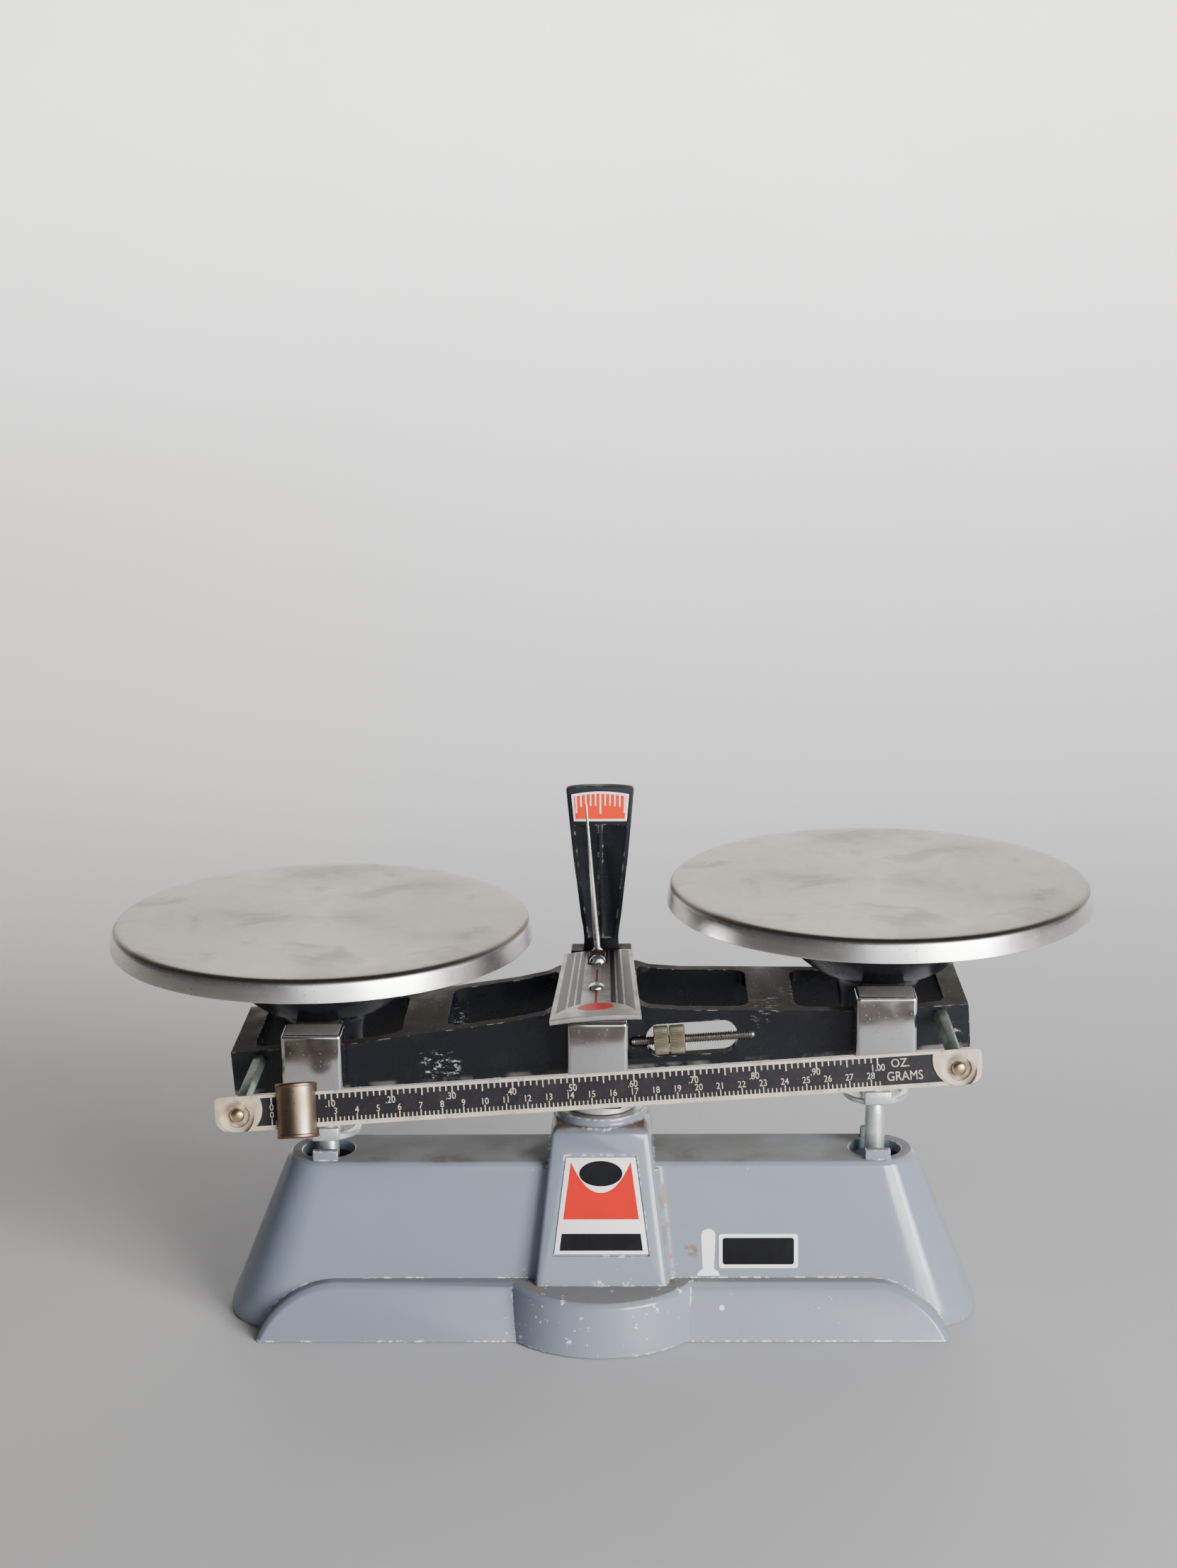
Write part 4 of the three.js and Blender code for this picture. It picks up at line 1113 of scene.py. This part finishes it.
def rider_bar():
    outline = rounded((-129.8, 130), (-6, 6), (5.2, 5.2, 1.6, 1.6), 8)
    obj = soften(prism("rider_bar", outline, -1.5, 1.5), 0.22, 2, 40)
    lean = Matrix.Rotation(BAR_LEAN, 4, "X")
    for x in (-STANDOFF_X, STANDOFF_X):
        profile = [(0, 0.15), (3.9, 0.15), (4.25, 0.5), (4.3, 0.95), (5.9, 1.5), (6.4, 10), (0, 10)]
        sink = turned("sink", profile, 40)
        stand = lean @ moved(x, 0, -0.2) @ LYING
        cut(obj, turn(sink, stand), turn(rod(1.7, -8, 8), stand))
    cut(obj, prism("field", field_outline(), -5, -1.05))
    finish(obj, BAR, "beam", [CREAM, GROUND], ["rider_bar"])

    def sunk(centre, normal):
        inside = -115 < centre.x < 113.4 and abs(centre.z) < 4.6
        return inside and normal.y < -0.9 and centre.y > -1.2

    second_material(obj, sunk)


def bar_text(text, x, z, size, across=0.8):
    curve = bpy.data.curves.new("numeral", "FONT")
    curve.body = text
    curve.size = size
    curve.align_x = "CENTER"
    curve.align_y = "CENTER"
    curve.extrude = 0.13
    curve.offset = 0.005
    curve.resolution_u = 3
    obj = new_object("numeral", curve)
    graph = bpy.context.evaluated_depsgraph_get()
    mesh = bpy.data.meshes.new_from_object(obj.evaluated_get(graph))
    bpy.data.objects.remove(obj)
    made = new_object("numeral", mesh)
    stand = moved(x, -1.12, z) @ LYING @ Matrix.Diagonal((across, 1, 1, 1))
    return turn(made, stand)


def bar_tick(x, low, high, half_low, half_high):
    outline = [(x - half_low, low), (x + half_low, low), (x + half_high, high), (x - half_high, high)]
    return prism("tick", outline, -1.25, -1.0)


def scale_marks():
    """Raised ticks and numbers: hundredths of an ounce above, fifths of a gram below."""
    made = []
    for i in range(28 * 5 + 3):
        top = -2.3 if i % 5 == 0 else -3.05
        made.append(bar_tick(ZERO_X + GRAM * i / 5, -4.6, top, 0.22, 0.17))
    ounce = GRAM * 28.3495
    for i in range(101):
        bottom = 2.4 if i % 5 == 0 else 3.25
        made.append(bar_tick(ZERO_X + ounce * i / 100, bottom, 4.85, 0.2, 0.24))
    for gram in range(29):
        made.append(bar_text(str(gram), ZERO_X + GRAM * gram, -1.1, 3.1, 0.9))
    for tenth in range(11):
        label = "0" if tenth == 0 else f"{tenth / 10:.2f}".lstrip("0")
        shift = 0 if tenth in (0, 10) else -0.55
        made.append(bar_text(label, ZERO_X + ounce * tenth / 10 + shift, 1.45, 3.25, 0.88))
    made.append(bar_text("OZ.", 102.6, 2.6, 4.0, 0.95))
    made.append(bar_text("GRAMS", 103.9, -1.8, 4.4, 0.86))
    finish(merge("rider_scale_marks", made), BAR, "beam", CREAM)


def poise():
    half = 9.35
    rim = [(0, half), (6.5, half), (6.95, half - 0.15), (7.2, half - 0.5), (7.2, half - 1.1),
           (7.08, half - 1.25), (7.05, half - 1.5)]
    obj = turned("poise", [(r, -z) for r, z in rim] + rim[::-1], 72)
    cut(obj, block("slot", (-10, 10), (-1.8, 1.8), (-8.2, 6.3)))
    finish(obj, BAR @ moved(POISE_X), "poise", [BRONZE, COPPER], ["poise"])
    second_material(obj, lambda c, n: abs(c.z) > 7.8)


# ---- pan carriers

EYE_Z = -71.4  # the pivot at the stem's foot


def pan(name, side, body):
    """A shallow cap: nearly flat on top, a rounded shoulder and a skirt that flares a little."""
    outside = [(0, 48.7), (25, 48.72), (50, 48.82), (64, 48.95), (70, 49), (72.2, 48.98)]
    for i in range(1, 9):
        a = radians(90 - i * 10.2)
        outside.append((73.1 + 2.75 * cos(a), 46.2 + 2.75 * sin(a)))
    outside += [(76.1, 44.8), (76.35, 43), (76.55, 41.6), (76.6, 41.15)]
    lip = [(76.45, 40.95), (76.2, 40.9), (76.0, 41.1)]
    inside = [(75.5, 43), (75.2, 45), (74.4, 46.6), (73, 47.5), (71, 47.85), (60, 47.85), (30, 47.7),
              (0, 47.68)]
    obj = turned(name, (outside + lip + inside)[::-1], 160)
    finish(obj, CARRIER[side], body, PAN, [name])


def pan_support(name, side, body):
    outside = [(0, 2), (13.3, 2), (13.8, 2.5), (14.1, 5), (14.5, 8), (15.5, 11.6), (17, 13.7),
               (19.5, 15.4), (22.6, 16.6), (25.3, 18.3), (28.6, 21), (33, 24.6), (38, 28.9), (42, 32.6),
               (44.2, 35.4), (45.4, 39), (46, 44), (46, 46.4), (45.6, 46.7)]
    inside = [(43.4, 46.7), (43, 44), (42.2, 38.5), (40.6, 35.6), (36, 31.2), (29, 25.2), (24, 21.2),
              (21, 20.5), (0, 20.5)]
    obj = turned(name, outside + inside, 96)
    join(obj, soften(block("cross", (-8, 8), (-38, 38), (10.2, 16)), 0.7))
    for end in (1, -1):
        join(obj, fork_arm(end, 6.5, (1, 12), (-3, 5.3), 0.5))
    cut(obj, rod(3.95, 0, 12))
    finish(obj, CARRIER[side], body, BLACK, [name])


def stem(name, side, body):
    profile = [(0, EYE_Z), (3.5, EYE_Z), (3.62, -66), (3.45, -60), (3.6, -52), (3.65, -44), (3.5, -36),
               (3.2, -35.2), (3.2, -27), (3.65, -26), (3.6, -10), (3.65, 11.4), (3.3, 11.7), (0, 11.7)]
    obj = turned(name, profile, 40)
    eye = turned("eye", [(0, -3.6), (4.3, -3.6), (4.6, -3.3), (4.6, 3.3), (4.3, 3.6), (0, 3.6)], 40)
    lie = moved(z=EYE_Z) @ LYING
    join(obj, turn(eye, lie))
    cut(obj, turn(rod(1.9, -9, 9), lie))
    finish(obj, CARRIER[side], body, ZINC, [name])


def stem_collar(name, side, body):
    low = -33.4
    band = turned(name, [(9.6, low), (11.7, low), (12.1, low + 0.5), (12.15, low + 1.7), (11.8, low + 2.2),
                         (9.9, low + 2.2), (9.6, low + 1.8)], 72)
    bar = soften(block("bar", (-5.1, 5.1), (-12.5, 12.5), (low, low + 5.4)), 0.8)
    hub = [(0, low), (5.6, low), (5.9, low + 0.4), (5.9, low + 5.6), (5.4, low + 6.2), (0, low + 6.2)]
    join(band, bar, turned("hub", hub, 48))
    cut(band, rod(3.95, low - 5, low + 15, 40))
    finish(band, CARRIER[side], body, ZINC, [name])


# ---- assembly


def build():
    base_casting()
    nameplate()
    side_label()
    wall_marks()
    column_yoke()
    covers("centre", 124.4, ROOT @ moved(-0.4), "base")
    scale_bracket()
    dial()
    for name, x in (("bracket_screw_left", -4.5), ("bracket_screw_right", 4.5)):
        screw(name, ROOT @ moved(x, 44.1, BRACKET_SCREW_Z), "base", STEEL, (2.6, 1.8, 1.3, 8), "+Y")
    beam_casting()
    top_plate()
    pointer()
    screw("pointer_screw", BEAM @ moved(0, 20.7, POINTER_SCREW_Z), "beam", BRIGHT, (3.2, 2.2, 1.1, 8.2))
    screw("top_plate_screw", BEAM @ moved(0, PLATE_SCREW_Y, 18.2), "beam", BRIGHT, (2.9, 1.9, 1.2, 7), "+Z")
    for end, x in (("left", -STANDOFF_X), ("right", STANDOFF_X)):
        standoff(f"standoff_{end}", x)
        place = BEAM @ moved(x, BAR_Y - 0.4, BAR_Z - 0.2)
        screw(f"rider_bar_screw_{end}", place, "beam", BRASS, (2.5, 1.8, 1.3, 12, False))
    rider_bar()
    scale_marks()
    poise()
    threaded_rod()
    knurled_nut("zero_nut_inner", 19.7, 5.3, "zero_nut_inner")
    knurled_nut("zero_nut_outer", 25.3, 5.5, "zero_nut_outer")
    for side in ("left", "right"):
        body = f"{side}_carrier"
        pan(f"{side}_pan", side, body)
        pan_support(f"{side}_pan_support", side, body)
        stem(f"{side}_stem", side, body)
        stem_collar(f"{side}_stem_collar", side, body)
        place = CARRIER[side] @ moved(-0.5 if side == "left" else 0)
        covers(side, 17.4, place, body)


def paint_kept_nodes():
    """The pieces whose CAD shape stays get their materials here."""
    for name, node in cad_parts.items():
        if node.hide_render:
            continue
        material = HIDDEN_STEEL
        if "bearing" in name:
            material = AGATE
        if "knife" in name:
            material = STEEL
        node.data.materials.clear()
        node.data.materials.append(material)


# ---- camera, floor and light


def camera():
    data = bpy.data.cameras.new("camera")
    data.sensor_width = 36
    data.lens = 61.03
    data.clip_end = 20
    obj = new_object("camera", data)
    right = Vector((0.999813, 0.017085, -0.009027))
    up = Vector((0.004735, 0.236274, 0.971675))
    back = Vector((0.018734, -0.971537, 0.236149))
    aim = Matrix((right, up, back)).transposed().to_4x4()
    place = Vector((14.32, -927.79 + SHIFT_Y, 426.5)) * 0.001
    obj.matrix_world = Matrix.Translation(place) @ aim
    bpy.context.scene.camera = obj


def backdrop():
    """A pale sweep: floor, a wide curve and a wall."""
    wall_y, radius = 1.8, 1.0
    profile = [(-4.0, 0.0), (-1.5, 0.0), (-0.6, 0.0), (0.2, 0.0)]
    for i in range(17):
        a = pi / 2 * i / 16
        profile.append((wall_y - radius + radius * sin(a), radius - radius * cos(a)))
    profile += [(wall_y, 2.0), (wall_y, 4.0)]
    verts, faces = [], []
    for y, z in profile:
        verts += [(-5, y, z - 0.0004), (5, y, z - 0.0004)]
    for i in range(len(profile) - 1):
        faces.append((2 * i, 2 * i + 1, 2 * i + 3, 2 * i + 2))
    mesh = bpy.data.meshes.new("backdrop")
    mesh.from_pydata(verts, [], faces)
    mesh.shade_smooth()
    obj = new_object("backdrop", mesh)
    look = Look("backdrop_paper", (0.5, 0.5, 0.515), 0.8)
    # Painted light: the paper is painted lighter going up from the floor to the wall.
    look.paint(look.ramp(look.axis("Z"), 0.02, 0.5), (0.8, 0.79, 0.775))
    warm = look.times(look.ramp(look.axis("X"), 0.0, -0.45), look.ramp(look.axis("Z"), 0.25, 0.05))
    look.paint((warm, 0.7), (0.53, 0.49, 0.44))
    look.paint((look.patch(0.4, 0.7, 6, 4), 0.08), (0.4, 0.4, 0.4))
    mesh.materials.append(look.done())


def area_light(name, place, target, size, power, color, spread=180):
    data = bpy.data.lights.new(name, "AREA")
    data.spread = radians(spread)
    data.shape = "RECTANGLE"
    data.size, data.size_y = size
    data.energy = power
    data.color = color
    obj = new_object(name, data)
    direction = Vector(target) - Vector(place)
    obj.matrix_world = Matrix.Translation(place) @ direction.to_track_quat("-Z", "Y").to_matrix().to_4x4()


def lights():
    area_light("key", (1.15, -1.3, 0.5), (0, 0, 0.1), (1.1, 1.0), 78, (1, 0.99, 0.975))
    area_light("strip", (1.3, -1.05, 0.45), (0, 0, 0.1), (0.12, 1.0), 9, (1, 1, 1))
    area_light("front", (0.35, -2.2, 0.5), (0, 0, 0.1), (1.2, 1.0), 9, (0.92, 0.96, 1))
    area_light("wall_wash", (0.1, 0.85, 1.9), (0.1, 1.8, 0.35), (2.6, 0.5), 46, (1, 0.995, 0.98), 105)
    world = bpy.data.worlds.new("studio")
    world.use_nodes = True
    world.node_tree.nodes["Background"].inputs["Color"].default_value = (0.86, 0.88, 0.92, 1)
    world.node_tree.nodes["Background"].inputs["Strength"].default_value = 0.08
    bpy.context.scene.world = world


camera()
build()
paint_kept_nodes()
backdrop()
lights()
